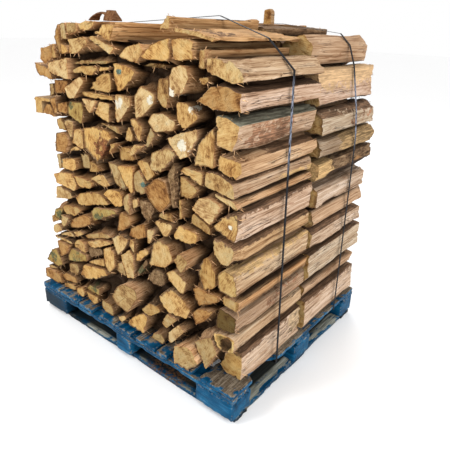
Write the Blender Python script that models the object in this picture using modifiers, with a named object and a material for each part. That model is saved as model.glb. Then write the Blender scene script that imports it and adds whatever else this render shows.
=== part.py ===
"""Pallet of split firewood: a block pallet with two ranks of logs, strapped twice.

Metres, +Z up, pallet centred on X = Y = 0 with its underside at z = 0.
X runs along the 1.2 m side, Y along the logs; the near face of the stack is at -Y.
"""
import math
import random

import bmesh
import bpy

for old in list(bpy.data.objects):
    bpy.data.objects.remove(old, do_unlink=True)

# Driving sizes
PALLET_X = 1.200
PALLET_Y = 1.000
BOARD_T = 0.020
BLOCK_H = 0.080
FIT = 0.0003
CORNER_BLOCK_X = 0.180
SIDE_BLOCK_X = 0.130
MIDDLE_BLOCK_X = 0.090
OUTER_BLOCK_Y = 0.118
MIDDLE_BLOCK_Y = 0.130
STRINGER_Y = 0.100
BASE_BOARD_Y = 0.100
BASE_BOARD_X = 0.120
BASE_SETBACK = 0.012
BOARD_EDGE = 0.003
BASE_EDGE = 0.006
BLOCK_EDGE = 0.008

EYE = (1.323, -1.515, 1.347)
FACE_Y = -0.470
HEART_INSET = 0.005
LOG_INSET = 0.007
APART_INSET = 0.008
ROOM_OVER = 0.020
CANT_X = 0.050
CANT_Z = 0.060
CORE_FRONT = -0.425
CORE_REAR = 0.425
FAR_END = (0.462, 0.492)
LOG_CLEAR = 0.002
CARVE = 0.0010
STRAP_W = 0.012
STRAP_T = 0.0012
STRAP_OFF = 0.0012
STRAP_STEP = 0.006
STRAP_Y = (-0.220, 0.280)
SMALLEST = 0.0003
HOOK_Y = (-0.462, -0.262)
CHIP_Y = (-0.462, -0.418)

DECK_TOP = 2 * BOARD_T + BLOCK_H + BOARD_T
DECK_BOARDS = (
    (-0.600, -0.466), (-0.460, -0.316), (-0.308, -0.212), (-0.160, -0.054), (-0.050, 0.050),
    (0.085, 0.200), (0.210, 0.268), (0.310, 0.400), (0.440, 0.600),
)

random.seed(11)
parts = bpy.data.collections.new("firewood_pallet")
cutters = bpy.data.collections.new("cutters")
for coll in (parts, cutters):
    bpy.context.scene.collection.children.link(coll)


def material(name, colour, rough):
    mat = bpy.data.materials.new(name)
    mat.use_nodes = True
    shader = mat.node_tree.nodes["Principled BSDF"]
    shader.inputs["Base Color"].default_value = (*colour, 1.0)
    shader.inputs["Roughness"].default_value = rough
    shader.inputs["Metallic"].default_value = 0.0
    return mat


PAINTED = material("painted_wood", (0.035, 0.190, 0.420), 0.62)
SPLIT = material("split_wood", (0.520, 0.330, 0.180), 0.78)
BARK = material("bark", (0.070, 0.050, 0.040), 0.90)
BANDING = material("strap_plastic", (0.012, 0.014, 0.018), 0.30)


def add(name, bm, mat, coll=parts):
    bmesh.ops.recalc_face_normals(bm, faces=bm.faces)
    mesh = bpy.data.meshes.new(name)
    bm.to_mesh(mesh)
    bm.free()
    obj = bpy.data.objects.new(name, mesh)
    coll.objects.link(obj)
    mesh.materials.append(mat)
    if coll is not parts:
        obj.hide_render = True
        obj.display_type = "WIRE"
    return obj


def board(name, lo, hi, edge=BOARD_EDGE, edge_axis=None):
    """A sawn board or block with its long edges broken."""
    size = [b - a for a, b in zip(lo, hi)]
    mid = [(a + b) / 2 for a, b in zip(lo, hi)]
    bm = bmesh.new()
    bmesh.ops.create_cube(bm, size=1.0)
    bmesh.ops.scale(bm, vec=size, verts=bm.verts)
    if edge_axis is not None:
        rims = [e for e in bm.edges
                if abs((e.verts[0].co - e.verts[1].co)[edge_axis]) > 0.5 * size[edge_axis]]
        bmesh.ops.bevel(bm, geom=rims, offset=edge, segments=1, affect="EDGES")
    obj = add(name, bm, PAINTED)
    obj.location = mid
    return obj


# Base boards, blocks, stringers and deck
BASE_TOP = BOARD_T
BLOCK_LO = BASE_TOP + FIT
BLOCK_HI = BASE_TOP + BLOCK_H
STRINGER_LO = BLOCK_HI + FIT
STRINGER_HI = BLOCK_HI + BOARD_T
DECK_LO = STRINGER_HI + FIT
HALF_X = PALLET_X / 2
HALF_Y = PALLET_Y / 2

board("base_board_near", (-HALF_X, -HALF_Y + BASE_SETBACK, 0),
      (HALF_X, -HALF_Y + BASE_BOARD_Y, BASE_TOP), BASE_EDGE, 0)
board("base_board_far", (-HALF_X, HALF_Y - BASE_BOARD_Y, 0),
      (HALF_X, HALF_Y - BASE_SETBACK, BASE_TOP), BASE_EDGE, 0)
INNER_Y = HALF_Y - BASE_BOARD_Y - FIT
board("base_board_left", (-HALF_X, -INNER_Y, 0),
      (-HALF_X + BASE_BOARD_X, INNER_Y, BASE_TOP), BASE_EDGE, 1)
board("base_board_middle", (-BASE_BOARD_X / 2, -INNER_Y, 0),
      (BASE_BOARD_X / 2, INNER_Y, BASE_TOP), BASE_EDGE, 1)
board("base_board_right", (HALF_X - BASE_BOARD_X, -INNER_Y, 0),
      (HALF_X, INNER_Y, BASE_TOP), BASE_EDGE, 1)

BLOCK_ROWS = (
    ("near", -HALF_Y, -HALF_Y + OUTER_BLOCK_Y, CORNER_BLOCK_X),
    ("middle", -MIDDLE_BLOCK_Y / 2, MIDDLE_BLOCK_Y / 2, SIDE_BLOCK_X),
    ("far", HALF_Y - OUTER_BLOCK_Y, HALF_Y, CORNER_BLOCK_X),
)
for row, y0, y1, end_x in BLOCK_ROWS:
    spans = (
        ("left", -HALF_X, -HALF_X + end_x),
        ("middle", -MIDDLE_BLOCK_X / 2, MIDDLE_BLOCK_X / 2),
        ("right", HALF_X - end_x, HALF_X),
    )
    for side, x0, x1 in spans:
        board("block_%s_%s" % (row, side), (x0, y0, BLOCK_LO), (x1, y1, BLOCK_HI), BLOCK_EDGE, 2)

for row, y0 in (("near", -HALF_Y), ("middle", -STRINGER_Y / 2), ("far", HALF_Y - STRINGER_Y)):
    board("stringer_" + row, (-HALF_X, y0, STRINGER_LO),
          (HALF_X, y0 + STRINGER_Y, STRINGER_HI), BOARD_EDGE, 0)

for number, (x0, x1) in enumerate(DECK_BOARDS, 1):
    board("deck_board_%d" % number, (x0, -HALF_Y, DECK_LO), (x1, HALF_Y, DECK_TOP), BOARD_EDGE, 1)
LOG_FLOOR = DECK_TOP + FIT


# Outlines in the X-Z plane
def cross(o, a, b):
    return (a[0] - o[0]) * (b[1] - o[1]) - (a[1] - o[1]) * (b[0] - o[0])


def hull(points):
    """Convex outline, anticlockwise."""
    points = sorted(set(points))
    loops = []
    for run in (points, points[::-1]):
        chain = []
        for p in run:
            while len(chain) > 1 and cross(chain[-2], chain[-1], p) <= 1e-9:
                chain.pop()
            chain.append(p)
        loops += chain[:-1]
    return loops


def clip(poly, normal, limit):
    """The part of a convex outline with normal . p <= limit."""
    out = []
    for a, b in zip(poly, poly[1:] + poly[:1]):
        da = normal[0] * a[0] + normal[1] * a[1] - limit
        db = normal[0] * b[0] + normal[1] * b[1] - limit
        if da <= 0:
            out.append(a)
        if (da < 0 < db) or (db < 0 < da):
            t = da / (da - db)
            out.append((a[0] + t * (b[0] - a[0]), a[1] + t * (b[1] - a[1])))
    return out


def edge_normals(poly):
    for a, b in zip(poly, poly[1:] + poly[:1]):
        length = math.hypot(b[0] - a[0], b[1] - a[1])
        if length > 1e-6:
            n = ((b[1] - a[1]) / length, -(b[0] - a[0]) / length)
            yield n, n[0] * a[0] + n[1] * a[1]


def shrink(poly, amount):
    for n, limit in list(edge_normals(poly)):
        poly = clip(poly, n, limit - amount)
    return tidy(poly)


def grow(poly, amount):
    out = [(-2.0, -2.0), (2.0, -2.0), (2.0, 2.0), (-2.0, 2.0)]
    for n, limit in edge_normals(poly):
        out = clip(out, n, limit + amount)
    return out


def tidy(poly, shortest=0.004):
    """Outline without steps shorter than a few millimetres."""
    out = []
    for p in poly:
        if not out or math.dist(p, out[-1]) > shortest:
            out.append(p)
    while len(out) > 3 and math.dist(out[0], out[-1]) <= shortest:
        out.pop()
    return out


def area(poly):
    return sum(a[0] * b[1] - b[0] * a[1] for a, b in zip(poly, poly[1:] + poly[:1])) / 2


def part_pair(one, two, share=0.5):
    """Trim two overlapping outlines along the direction in which they overlap least."""
    best = None
    for first, (a, b) in ((True, (one, two)), (False, (two, one))):
        for n, limit in edge_normals(a):
            deep = limit - min(n[0] * p[0] + n[1] * p[1] for p in b)
            if deep <= 0:
                return one, two
            if best is None or deep < best[0]:
                best = (deep, first, n, limit)
    deep, first, n, limit = best
    line = limit - deep * (share if first else 1.0 - share)
    near, far = (one, two) if first else (two, one)
    near = clip(near, n, line)
    far = clip(far, (-n[0], -n[1]), -line)
    return (near, far) if first else (far, near)


def part_all(outlines):
    for i in range(len(outlines)):
        for j in range(i + 1, len(outlines)):
            a, b = outlines[i], outlines[j]
            if len(a) > 2 and len(b) > 2:
                outlines[i], outlines[j] = part_pair(a, b)
    return outlines


def seen_at(poly, y):
    """Outline in centimetres on the near face, moved along the sight lines to depth y."""
    k = (y - EYE[1]) / (FACE_Y - EYE[1])
    moved = [(EYE[0] + (x / 100 - EYE[0]) * k, EYE[2] + (z / 100 - EYE[2]) * k) for x, z in poly]
    return hull([(round(x, 4), round(z, 4)) for x, z in moved])


def prism(poly, y0, y1, cant0=(0.0, 0.0), cant1=(0.0, 0.0)):
    """A log: its outline drawn from y0 to y1, each saw cut a little off square."""
    bm = bmesh.new()
    mid = (sum(p[0] for p in poly) / len(poly), sum(p[1] for p in poly) / len(poly))
    near = bm.faces.new([bm.verts.new((x, y0, z)) for x, z in poly])
    grown = bmesh.ops.extrude_face_region(bm, geom=[near])
    far = [v for v in grown["geom"] if isinstance(v, bmesh.types.BMVert)]
    bmesh.ops.translate(bm, vec=(0, y1 - y0, 0), verts=far)
    for v in bm.verts:
        cant = cant1 if v in far else cant0
        v.co.y += cant[0] * (v.co.x - mid[0]) + cant[1] * (v.co.z - mid[1])
    return bm


def cant():
    return random.uniform(-CANT_X, CANT_X), random.uniform(-CANT_Z, CANT_Z)


def boolean(target, tools, mode):
    """One exact Boolean of the target with every solid in a collection of cutters."""
    mod = target.modifiers.new("cut", "BOOLEAN")
    mod.operation = mode
    mod.solver = "EXACT"
    mod.operand_type = "COLLECTION"
    mod.collection = tools
    bpy.context.view_layer.update()
    evaluated = target.evaluated_get(bpy.context.evaluated_depsgraph_get())
    mesh = bpy.data.meshes.new_from_object(evaluated)
    target.modifiers.remove(mod)
    old_mesh = target.data
    target.data = mesh
    bpy.data.meshes.remove(old_mesh)


def tool_set(name):
    coll = bpy.data.collections.new(name)
    cutters.children.link(coll)
    return coll


# Near rank: log ends read on the near face in centimetres, and how far each stands out.
NEAR_LOGS = (
    # upper left
    (0.0, (-36, 126), (-33, 126), (-33, 120.3), (-36, 120.2)),
    (1.5, (-39, 119.3), (-30, 120), (-25.2, 122), (-25.2, 113), (-30, 113.5), (-40, 115)),
    (-1.5, (-36.5, 112.5), (-27, 112.8), (-29.5, 108), (-36.5, 106.8)),
    (-3.0, (-40, 110.5), (-37, 111), (-37, 106.6), (-40, 105.6)),
    (1.5, (-29.5, 110), (-20, 115.2), (-17.5, 113.5), (-24, 106.5), (-27, 106.3)),
    (0.0, (-29.5, 126), (-25, 125.5), (-25, 122), (-30, 121)),
    (0.5, (-24.8, 127.8), (-15.5, 129), (-12, 127.3), (-20, 123), (-24.8, 121)),
    (-5.0, (-20, 124), (-8, 126.3), (-1, 123.2), (-12, 122.4)),
    (-1.0, (-24, 119.3), (-17, 121), (-1, 121.8), (-3, 120.3), (-19, 119.2)),
    (0.5, (-23.5, 117), (-18, 119.3), (-10, 119.8), (-8.5, 118.5), (-12, 116), (-22, 116)),
    (0.0, (-8.5, 117.8), (-7, 119.7), (-1, 120.2), (-2.5, 118.4), (-7, 117.8)),
    (0.0, (-14, 110.8), (-11, 114.5), (-6, 117.6), (-2, 118.3), (-1, 115), (-1.5, 112), (-3, 110.5)),
    (0.8, (-18.5, 110), (-13, 110.6), (-0.5, 110.3), (-0.5, 108.5), (-10, 107.9), (-17, 108.3)),
    (1.0, (-19, 107.5), (-11, 107.7), (-9.8, 107), (-12.5, 103.5), (-15, 102.3), (-17.5, 105)),
    (0.0, (-9.5, 107.7), (-2.7, 107.6), (-3.5, 100.2), (-12, 102.8)),
    # upper middle and right
    (0.5, (0, 121.3), (9, 121), (13, 119.3), (6.5, 117.3), (3.2, 112), (1.5, 112), (0.3, 117)),
    (0.5, (0.3, 111.3), (8.5, 111.3), (9.3, 108.8), (1, 101.2), (-0.3, 102)),
    (0.5, (10.5, 111.3), (14, 115.3), (21, 113), (20, 110.5), (15.5, 106.5), (11, 103.5), (10.3, 105)),
    (0.5, (-13.5, 128.3), (-10.5, 129.3), (1.5, 126.2), (-1, 123.8), (-8, 127.3)),
    (0.0, (3, 123.5), (8, 127.3), (14, 128.5), (16, 126), (13.5, 124), (12, 121.6)),
    (0.5, (14.2, 124.3), (19, 128.5), (27, 130.8), (27.3, 125), (26, 123.6), (16, 123.3)),
    (-3.0, (13, 121.2), (19, 122.8), (26.5, 122.8), (24, 121.5)),
    (0.0, (38.8, 128.3), (41.5, 128.5), (41.5, 122.5), (39, 122.7)),
    (2.0, (27, 119.5), (28.5, 122), (31.5, 123.3), (34, 122.5), (35, 119.5), (32.5, 115),
     (29, 113.3), (27, 113.5)),
    (0.0, (20.5, 112.3), (22, 118.3), (26.8, 118.6), (26.8, 113), (25.5, 109), (23, 110.5)),
    (1.0, (30, 112), (34, 112.5), (39.3, 108.5), (35, 105), (33, 103.8), (30.5, 106.5)),
    (0.0, (39, 120), (43, 120.6), (43, 119), (40.5, 117.8)),
    (0.5, (17, 104), (19, 107), (24, 107.7), (29.5, 105.5), (28.5, 102.7), (20, 101)),
    (1.0, (26, 100.2), (31, 102.5), (38.5, 105), (38.8, 101.5), (35, 95.7), (32, 94.2),
     (30.3, 94.7), (27.5, 97.3)),
    (0.0, (7, 103.7), (10.5, 104.2), (14, 101.5), (12.5, 96.5), (11.5, 96)),
    (0.0, (18, 102.6), (20, 100), (18.5, 97.5), (16, 94.8), (15, 96)),
    (-1.5, (5.5, 99), (7, 101), (9, 98.5), (8.5, 95.8), (5, 95.8)),
    (0.5, (38.5, 100.5), (41, 103), (45, 106.5), (46, 104), (46, 94), (37.5, 93.2)),
    (0.5, (-24.8, 133.5), (-18.5, 133.5), (-18.5, 130.2), (-24, 128.7), (-24.8, 130.5)),
    (-1.0, (-34, 127), (-30.2, 133), (-29.6, 133), (-29.6, 122), (-32.5, 121.2)),
    (0.3, (-18, 133), (-13, 134.3), (-6.5, 134), (-11, 131.2), (-17, 130.6)),
    (0.0, (-29, 133.3), (-25.3, 133.3), (-25.2, 127.2), (-29, 127.2)),
    (-0.4, (51, 50.8), (58.3, 51), (58.3, 49), (57.5, 46.2), (52, 47.5)),
    # middle left
    (-0.5, (-41, 104.5), (-36.5, 106.3), (-36.2, 100), (-38.5, 98.4)),
    (0.0, (-36, 103.5), (-29.5, 105), (-28.5, 101), (-29.5, 99.8), (-36, 100)),
    (0.5, (-29.3, 103), (-26.5, 105.4), (-20, 105.8), (-18.5, 104), (-20, 98), (-21.5, 97.3),
     (-29, 100)),
    (0.5, (-33.3, 97), (-30, 98.3), (-26, 98.4), (-25.7, 95.4), (-27.5, 90.8), (-29, 90.5), (-31, 93)),
    (-1.0, (-37.5, 97.5), (-34, 98), (-33.4, 96.5), (-31, 92.8), (-36, 92.9), (-37, 95)),
    (1.0, (-39, 91.5), (-36.5, 92.2), (-31, 91.3), (-30.5, 87.5), (-33, 83.8), (-41, 83)),
    (0.5, (-26, 95.2), (-20.3, 95.3), (-20.5, 88), (-22, 87.3), (-28, 89), (-26.3, 90.5)),
    (0.5, (-20, 96.5), (-13, 97.8), (-4, 98), (-2.7, 95), (-6, 91.3), (-12.3, 83),
     (-15.5, 85.5), (-20, 88)),
    (-1.0, (-11, 98.9), (-8, 100), (1, 99.8), (2.8, 97.5), (-1, 96.8)),
    (0.8, (-4.3, 92.5), (-3.5, 93.3), (-0.5, 93.3), (-0.3, 91.3), (-4.5, 86.8), (-5.2, 87.3)),
    (-2.0, (0.3, 93), (7, 93.3), (10, 89.3), (2, 87.6)),
    (0.3, (6, 90.5), (8.5, 95), (15, 95.6), (10.5, 93.3), (7, 90.2)),
    (1.0, (16.6, 88.2), (18.5, 94), (26, 97), (30, 95.7), (22.5, 87.6), (18, 87)),
    (0.0, (-30.5, 86.3), (-25.5, 88.2), (-22, 87), (-25, 86), (-30, 85.1)),
    (-2.0, (-23.5, 85.6), (-20, 86.6), (-17.3, 86), (-17, 82), (-18, 80.3), (-22.5, 79.7)),
    (0.5, (-37, 81), (-30, 82.5), (-27, 82.4), (-26.5, 79), (-28.5, 77), (-37.5, 76.4)),
    (-1.0, (-40, 82.3), (-37.5, 82.4), (-37.6, 76.5), (-39.5, 75.6)),
    (-0.5, (-18, 79.2), (-16.5, 84), (-13, 82.8), (-10, 80.6), (-13, 79.9)),
    (0.5, (-18.7, 76), (-12, 79.7), (-9, 80), (-4.5, 76.5), (-9, 74.6)),
    (-0.5, (-6.3, 85.7), (-1.3, 85.6), (4.3, 77), (2, 76.4), (-2, 78)),
    (0.8, (-0.5, 85.5), (9.3, 87.2), (7, 83), (8.3, 77.5), (6.3, 75.8), (2, 80.5)),
    (0.8, (7.5, 83.5), (11, 86.5), (12, 85), (14.5, 82.6), (14.3, 78), (12, 77), (8.7, 77.8)),
    (0.3, (10.3, 88.7), (12, 90.2), (16.3, 90), (16.6, 87.5), (20, 86), (15.3, 82.4)),
    (1.5, (15, 81), (18, 84), (20.5, 85.3), (24.5, 84.8), (27, 78), (26.5, 77), (21.5, 72.3),
     (18.5, 74), (15, 77.5)),
    # middle right
    (1.5, (25.5, 88), (28.8, 93), (29.9, 88.5), (29.5, 76), (28, 75.8)),
    (0.0, (33.5, 92), (41.6, 91.8), (41, 87), (36, 88.2), (30.9, 90)),
    (0.0, (30.5, 89), (34.5, 88.2), (39.8, 85.5), (36.5, 81.8), (31, 80.8)),
    (0.5, (30.5, 80.5), (32, 80.5), (32.3, 73.5), (31, 72.8)),
    (1.0, (36.8, 78.5), (40, 83), (44.5, 84), (49, 83), (49, 81.3), (47.2, 78), (45, 74.6), (40, 76.6)),
    (-0.5, (36.2, 73.2), (37, 77), (40, 76.2), (45, 74.2), (45.6, 71.2)),
    (0.0, (46, 86.3), (54.3, 85.4), (55.8, 84), (55.5, 82.3), (46.5, 84.6)),
    (0.5, (-44, 72.5), (-38, 74.6), (-31, 75.4), (-29, 73.5), (-27.5, 70.5), (-30, 67.8),
     (-42.5, 68.6)),
    (0.0, (-28.8, 75.2), (-16, 75), (-19, 71.5), (-26.6, 71)),
    (0.5, (-45, 61), (-43.5, 67), (-40, 67.8), (-32.5, 67), (-31, 65), (-34, 63.3)),
    (0.3, (-29.5, 65.5), (-26, 68), (-15.5, 71.3), (-11, 71), (-7, 68), (-25, 62.5), (-27.5, 62.5)),
    (0.5, (-10, 71.7), (-7, 74.7), (0, 75.3), (1.2, 74), (1.2, 69.5), (-3, 68.2)),
    (0.5, (1.6, 68.5), (2, 73.5), (4.5, 75.6), (5.5, 75), (6, 67.5), (5.5, 66.6)),
    (0.5, (-19.7, 62), (-17, 64.4), (-4, 66.6), (-1.7, 65.8), (-14, 60.3), (-18, 57.8)),
    (0.7, (-2.4, 58.2), (-1.2, 66.6), (4.5, 66.1), (5.6, 63.5), (1, 59.6)),
    (-0.5, (4, 57.8), (5.9, 62.4), (13.3, 66), (14, 60.5), (8, 57.6)),
    (-0.5, (6.4, 74), (10, 75.3), (10.3, 72), (7, 70)),
    (-1.0, (10.7, 75.3), (17.5, 75.3), (19, 73.2), (15, 66.3), (12, 69)),
    (0.3, (18.5, 68), (20, 69.9), (27.5, 70), (28, 69), (25.5, 64.5), (23.5, 63.9)),
    (-0.5, (21, 71.8), (22, 73), (27, 74.2), (28.5, 70.6), (20.7, 70.3)),
    (0.7, (28.6, 66), (30.7, 70.8), (39.4, 69.8), (38.8, 66.5), (36.5, 64.9), (29.5, 64.9)),
    (6.0, (28, 56.5), (31, 60.3), (35.5, 57.5), (31.5, 51.5)),
    (0.5, (40, 58), (42, 61.5), (44, 63), (46, 61), (48, 58), (48, 53), (45, 50),
     (42.3, 49.5), (40, 55)),
    # lower left
    (0.5, (14.4, 58.5), (14.7, 64), (18.5, 65.2), (18, 62), (16, 58.6)),
    (1.0, (15.3, 50.2), (16.8, 58), (17, 60.2), (20, 61.8), (25, 60.8), (28, 56), (24, 51.5),
     (16.5, 49.8)),
    (0.5, (-40, 58.3), (-37, 59.8), (-29.5, 61), (-26.5, 59.8), (-31.5, 55.9), (-38.5, 55.4)),
    (0.3, (-36, 51), (-33, 54.8), (-25, 59), (-19.8, 59), (-20.5, 55.5), (-29, 50.9), (-35, 49.7)),
    (0.0, (-48, 51.5), (-46.5, 55.5), (-41, 57.5), (-40, 56.3), (-43.2, 50.7)),
    (0.7, (-42.6, 54.2), (-35.7, 54), (-41.3, 47.5), (-42.8, 49)),
    (-1.0, (-50, 51), (-48.5, 52), (-44.5, 50), (-47, 48.8), (-49.5, 47.8)),
    (0.5, (-50, 46.5), (-47, 48.3), (-43.5, 47.5), (-41.5, 46), (-48, 42.8), (-50.3, 43.5)),
    (0.0, (-35, 47.7), (-28.5, 50.1), (-25.4, 49.5), (-31, 46.2)),
    (-0.3, (-42, 45.3), (-36, 47.2), (-31.8, 45.8), (-45, 42.7)),
    (0.0, (-49.5, 41.5), (-42, 43), (-34.7, 42.4), (-36, 40.9), (-49, 40.2)),
    (0.7, (-48, 39.6), (-37.8, 39.6), (-40, 35.3), (-46.5, 30.9), (-47.2, 36)),
    (0.3, (-34, 42.5), (-31, 45.2), (-25.3, 45), (-25, 40), (-34.5, 40.7)),
    (0.0, (-37, 39), (-25.2, 39.2), (-25.5, 35.9), (-33, 33.4), (-40, 31.6), (-39.8, 35)),
    (0.5, (-24.7, 46.2), (-16, 50.5), (-6.8, 51.8), (-8, 49.8), (-21.2, 43.6)),
    (0.0, (-25, 49.3), (-14, 53.8), (-7.2, 54.2), (-7.2, 52.6), (-16, 51.3), (-23.5, 47.5)),
    (0.7, (-6.6, 54.3), (-2, 57.1), (3.6, 57), (2.8, 54.5), (0, 50.3), (-3.8, 46.5)),
    (0.5, (3.9, 54.3), (5, 57.6), (7, 57), (7, 50), (6, 50.6)),
    (0.0, (7.4, 52.3), (14.3, 56.3), (15.2, 54.3), (9, 47.8), (7.5, 48.5)),
    (0.7, (-2.5, 47.3), (3.5, 51.8), (6, 50.3), (6.5, 39.8), (1.3, 38.5), (-0.3, 44.5)),
    (0.5, (-5, 39.3), (-3.7, 43.3), (-1, 44.8), (0, 43.8), (0.9, 38.5)),
    (0.7, (-13.5, 46.8), (-8.8, 49.2), (-6.3, 46.8), (-6, 40.3), (-10.3, 35.9), (-12.2, 39)),
    (-0.8, (-24.6, 44.1), (-14.5, 46.6), (-13.6, 43.2), (-22, 39)),
    (0.0, (-25, 35.6), (-22, 38.2), (-13, 42), (-12.5, 38.1)),
    (0.3, (-32.3, 26.5), (-28.3, 33.8), (-13, 37.2), (-10.8, 34.7), (-20, 28.9), (-29, 25.5)),
    # bottom rows
    (0.5, (-59, 25.5), (-54.5, 32.7), (-50, 34.3), (-46.7, 30.7), (-45.5, 27), (-50, 24.4)),
    (0.0, (-59, 22.3), (-54, 24.3), (-49, 23.8), (-57, 20.9)),
    (0.5, (-62, 14.5), (-61.5, 20), (-57, 21), (-49, 20.5), (-47.5, 15.5), (-52, 14.2)),
    (-0.5, (-48.5, 21), (-44, 23.5), (-35.5, 24), (-34.7, 20.7), (-45, 18.6)),
    (0.0, (-46.7, 17.2), (-42, 19.3), (-36.8, 19), (-37, 16.5), (-45.5, 14.5)),
    (0.4, (-36.3, 18.5), (-31.5, 20.3), (-29.4, 18), (-31, 14.8), (-36, 14.8)),
    (-1.0, (-39.5, 30.3), (-33.5, 31.7), (-32.5, 29), (-34.5, 25.5), (-40, 25.5)),
    (0.0, (-28, 22), (-25, 24.7), (-18, 25), (-18.8, 21), (-26, 20.6)),
    (0.3, (-29, 19.7), (-19.7, 20), (-20.5, 16), (-23, 14.4), (-26.5, 16.5)),
    (0.5, (-17.2, 17.5), (-16.5, 20), (-10.5, 20.3), (-9.2, 17.5), (-9.2, 14.4), (-15.5, 14.4)),
    (0.4, (-6, 16), (-2, 18.8), (-0.3, 17.6), (-3, 14.5), (-5, 14.3)),
    (4.0, (-9, 25.5), (-5.5, 31.5), (0, 35), (6, 34.3), (7, 31), (3.5, 25.2), (0.5, 20.8),
     (-6.5, 22.3)),
    (1.0, (0, 16.2), (5, 21.5), (10.3, 25.3), (12.7, 24.3), (11, 18), (10.5, 14.8), (3, 15.2)),
    (1.0, (9.8, 27.3), (14.5, 32.5), (19, 32.5), (20.5, 30.5), (13.5, 24.8), (10.7, 25.9)),
    (0.0, (13.5, 43.5), (17.5, 48.8), (23.5, 49.3), (23.6, 43.3), (17, 41.6)),
    (0.0, (7.2, 43.5), (13.3, 51.6), (14.3, 49.5), (8.5, 41.3)),
    (0.3, (24, 49.5), (28, 51.8), (34.5, 49), (33, 43.7), (31, 43.5), (25.5, 47)),
    (1.0, (20.5, 38.2), (25, 43.3), (28, 44), (32.5, 41.3), (36.3, 38), (34.5, 33.5),
     (26, 32.3), (22, 34.7)),
    (0.5, (38, 48.5), (40, 50), (43, 49.3), (49.4, 49.6), (50, 47.7), (45, 45), (41, 41.6), (39, 44.5)),
    (1.0, (37, 37.8), (41, 41.7), (48, 43), (44, 37.5), (39, 32.9)),
    (0.3, (21.3, 27), (24.5, 31.6), (30, 31), (24, 24.4), (21.7, 25.3)),
    (0.7, (25, 23), (30.5, 29.3), (33.5, 27.5), (31, 24), (26.5, 18.5), (25.2, 19)),
    (4.2, (28, 9.4), (27.8, 18), (31, 20), (38, 21.5), (41.5, 16.5), (35.5, 9.4)),
    (1.5, (38, 25.3), (47.3, 32.1), (50.2, 27), (44.5, 15), (40.3, 20)),
    (-1.0, (14, 15), (16.5, 18.5), (21, 20), (23.5, 18), (22, 15)),
)

# Logs at the right-hand corner and on top of the near rank, each a solid of its own.
EDGE_LOGS = (
    ("corner_log_01", 1.0, (41.8, 126), (50.5, 126.3), (55.6, 122.3), (55.6, 119.8),
     (51.5, 119.2), (42.2, 121.5)),
    ("corner_log_02", 0.6, (37.5, 113), (43.5, 118.5), (49, 119), (55.5, 118), (55.7, 111.5),
     (45, 110.8)),
    ("corner_log_03", 0.8, (46, 110.6), (50, 110.3), (55, 108.5), (54.5, 104), (53, 99.7),
     (46.3, 100.8)),
    ("corner_log_04", 0.0, (47.5, 99.3), (56.7, 98.8), (57, 94.5), (54.7, 91.4), (47, 93.5)),
    ("corner_log_05", 0.5, (42.3, 92.6), (46.5, 92.9), (53.5, 91.3), (55, 88.5), (54.5, 85.8),
     (42, 87.5)),
    ("corner_log_06", 0.8, (49.5, 80), (52, 81.5), (56, 81.8), (56.5, 78), (55.2, 71.2),
     (51, 72), (45.7, 74.5), (47.7, 77.5)),
    ("corner_log_07", 0.2, (46, 71.3), (53, 70.5), (55, 69), (54.5, 65), (53, 62.4),
     (50, 62.4), (47, 65), (46, 68)),
    ("corner_log_08", 1.0, (48.5, 58.5), (51, 61.8), (55.5, 60), (57, 56), (57, 52.3),
     (54.5, 51.3), (49.5, 51.8), (48.6, 53.5)),
    ("corner_log_09", 0.0, (49.2, 44.5), (50.5, 45.8), (57.5, 44), (57.8, 37.7), (55, 36.9),
     (49, 36.5), (48.8, 40)),
    ("corner_log_10", 0.6, (48, 34.5), (50, 35.5), (55, 36), (57.3, 35), (57, 29.2),
     (54, 27.7), (48.7, 27.3), (48, 31)),
    ("corner_log_11", -4.5, (51, 21.6), (53.4, 18.6), (55.8, 16.9), (58.7, 16.9), (60.9, 18.9),
     (61.4, 26.7), (61.1, 32.4), (57.2, 32.2), (53.2, 29)),
    ("left_log_1", -1.0, (-45, 119), (-43.5, 124), (-36, 126), (-36, 120.5), (-41, 117.4)),
    ("left_log_2", -1.0, (-49, 118.3), (-39.5, 117), (-37, 113.5), (-37, 111.8), (-46, 112.3),
     (-48, 114)),
    ("left_log_3", -1.0, (-47, 98), (-44, 102.3), (-41.5, 102.6), (-38.5, 98.2), (-38.5, 97.4)),
    ("top_log_1", 2.0, (-10, 130.2), (-4.5, 133.8), (3.5, 134.3), (1.2, 128.8), (-0.5, 127.1)),
    ("top_log_2", 1.0, (27.7, 130.3), (33, 130.8), (37, 130), (37, 124.2), (32, 123.7), (28.5, 124.7)),
    ("top_log_3", 0.3, (28.3, 131.5), (29, 134), (38, 133), (46, 131.2), (44, 129.2), (38, 130.7)),
    ("top_log_4", 0.0, (22.6, 131.8), (23, 134), (26, 137.3), (27.8, 136.2), (27.5, 131.8)),
)

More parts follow.
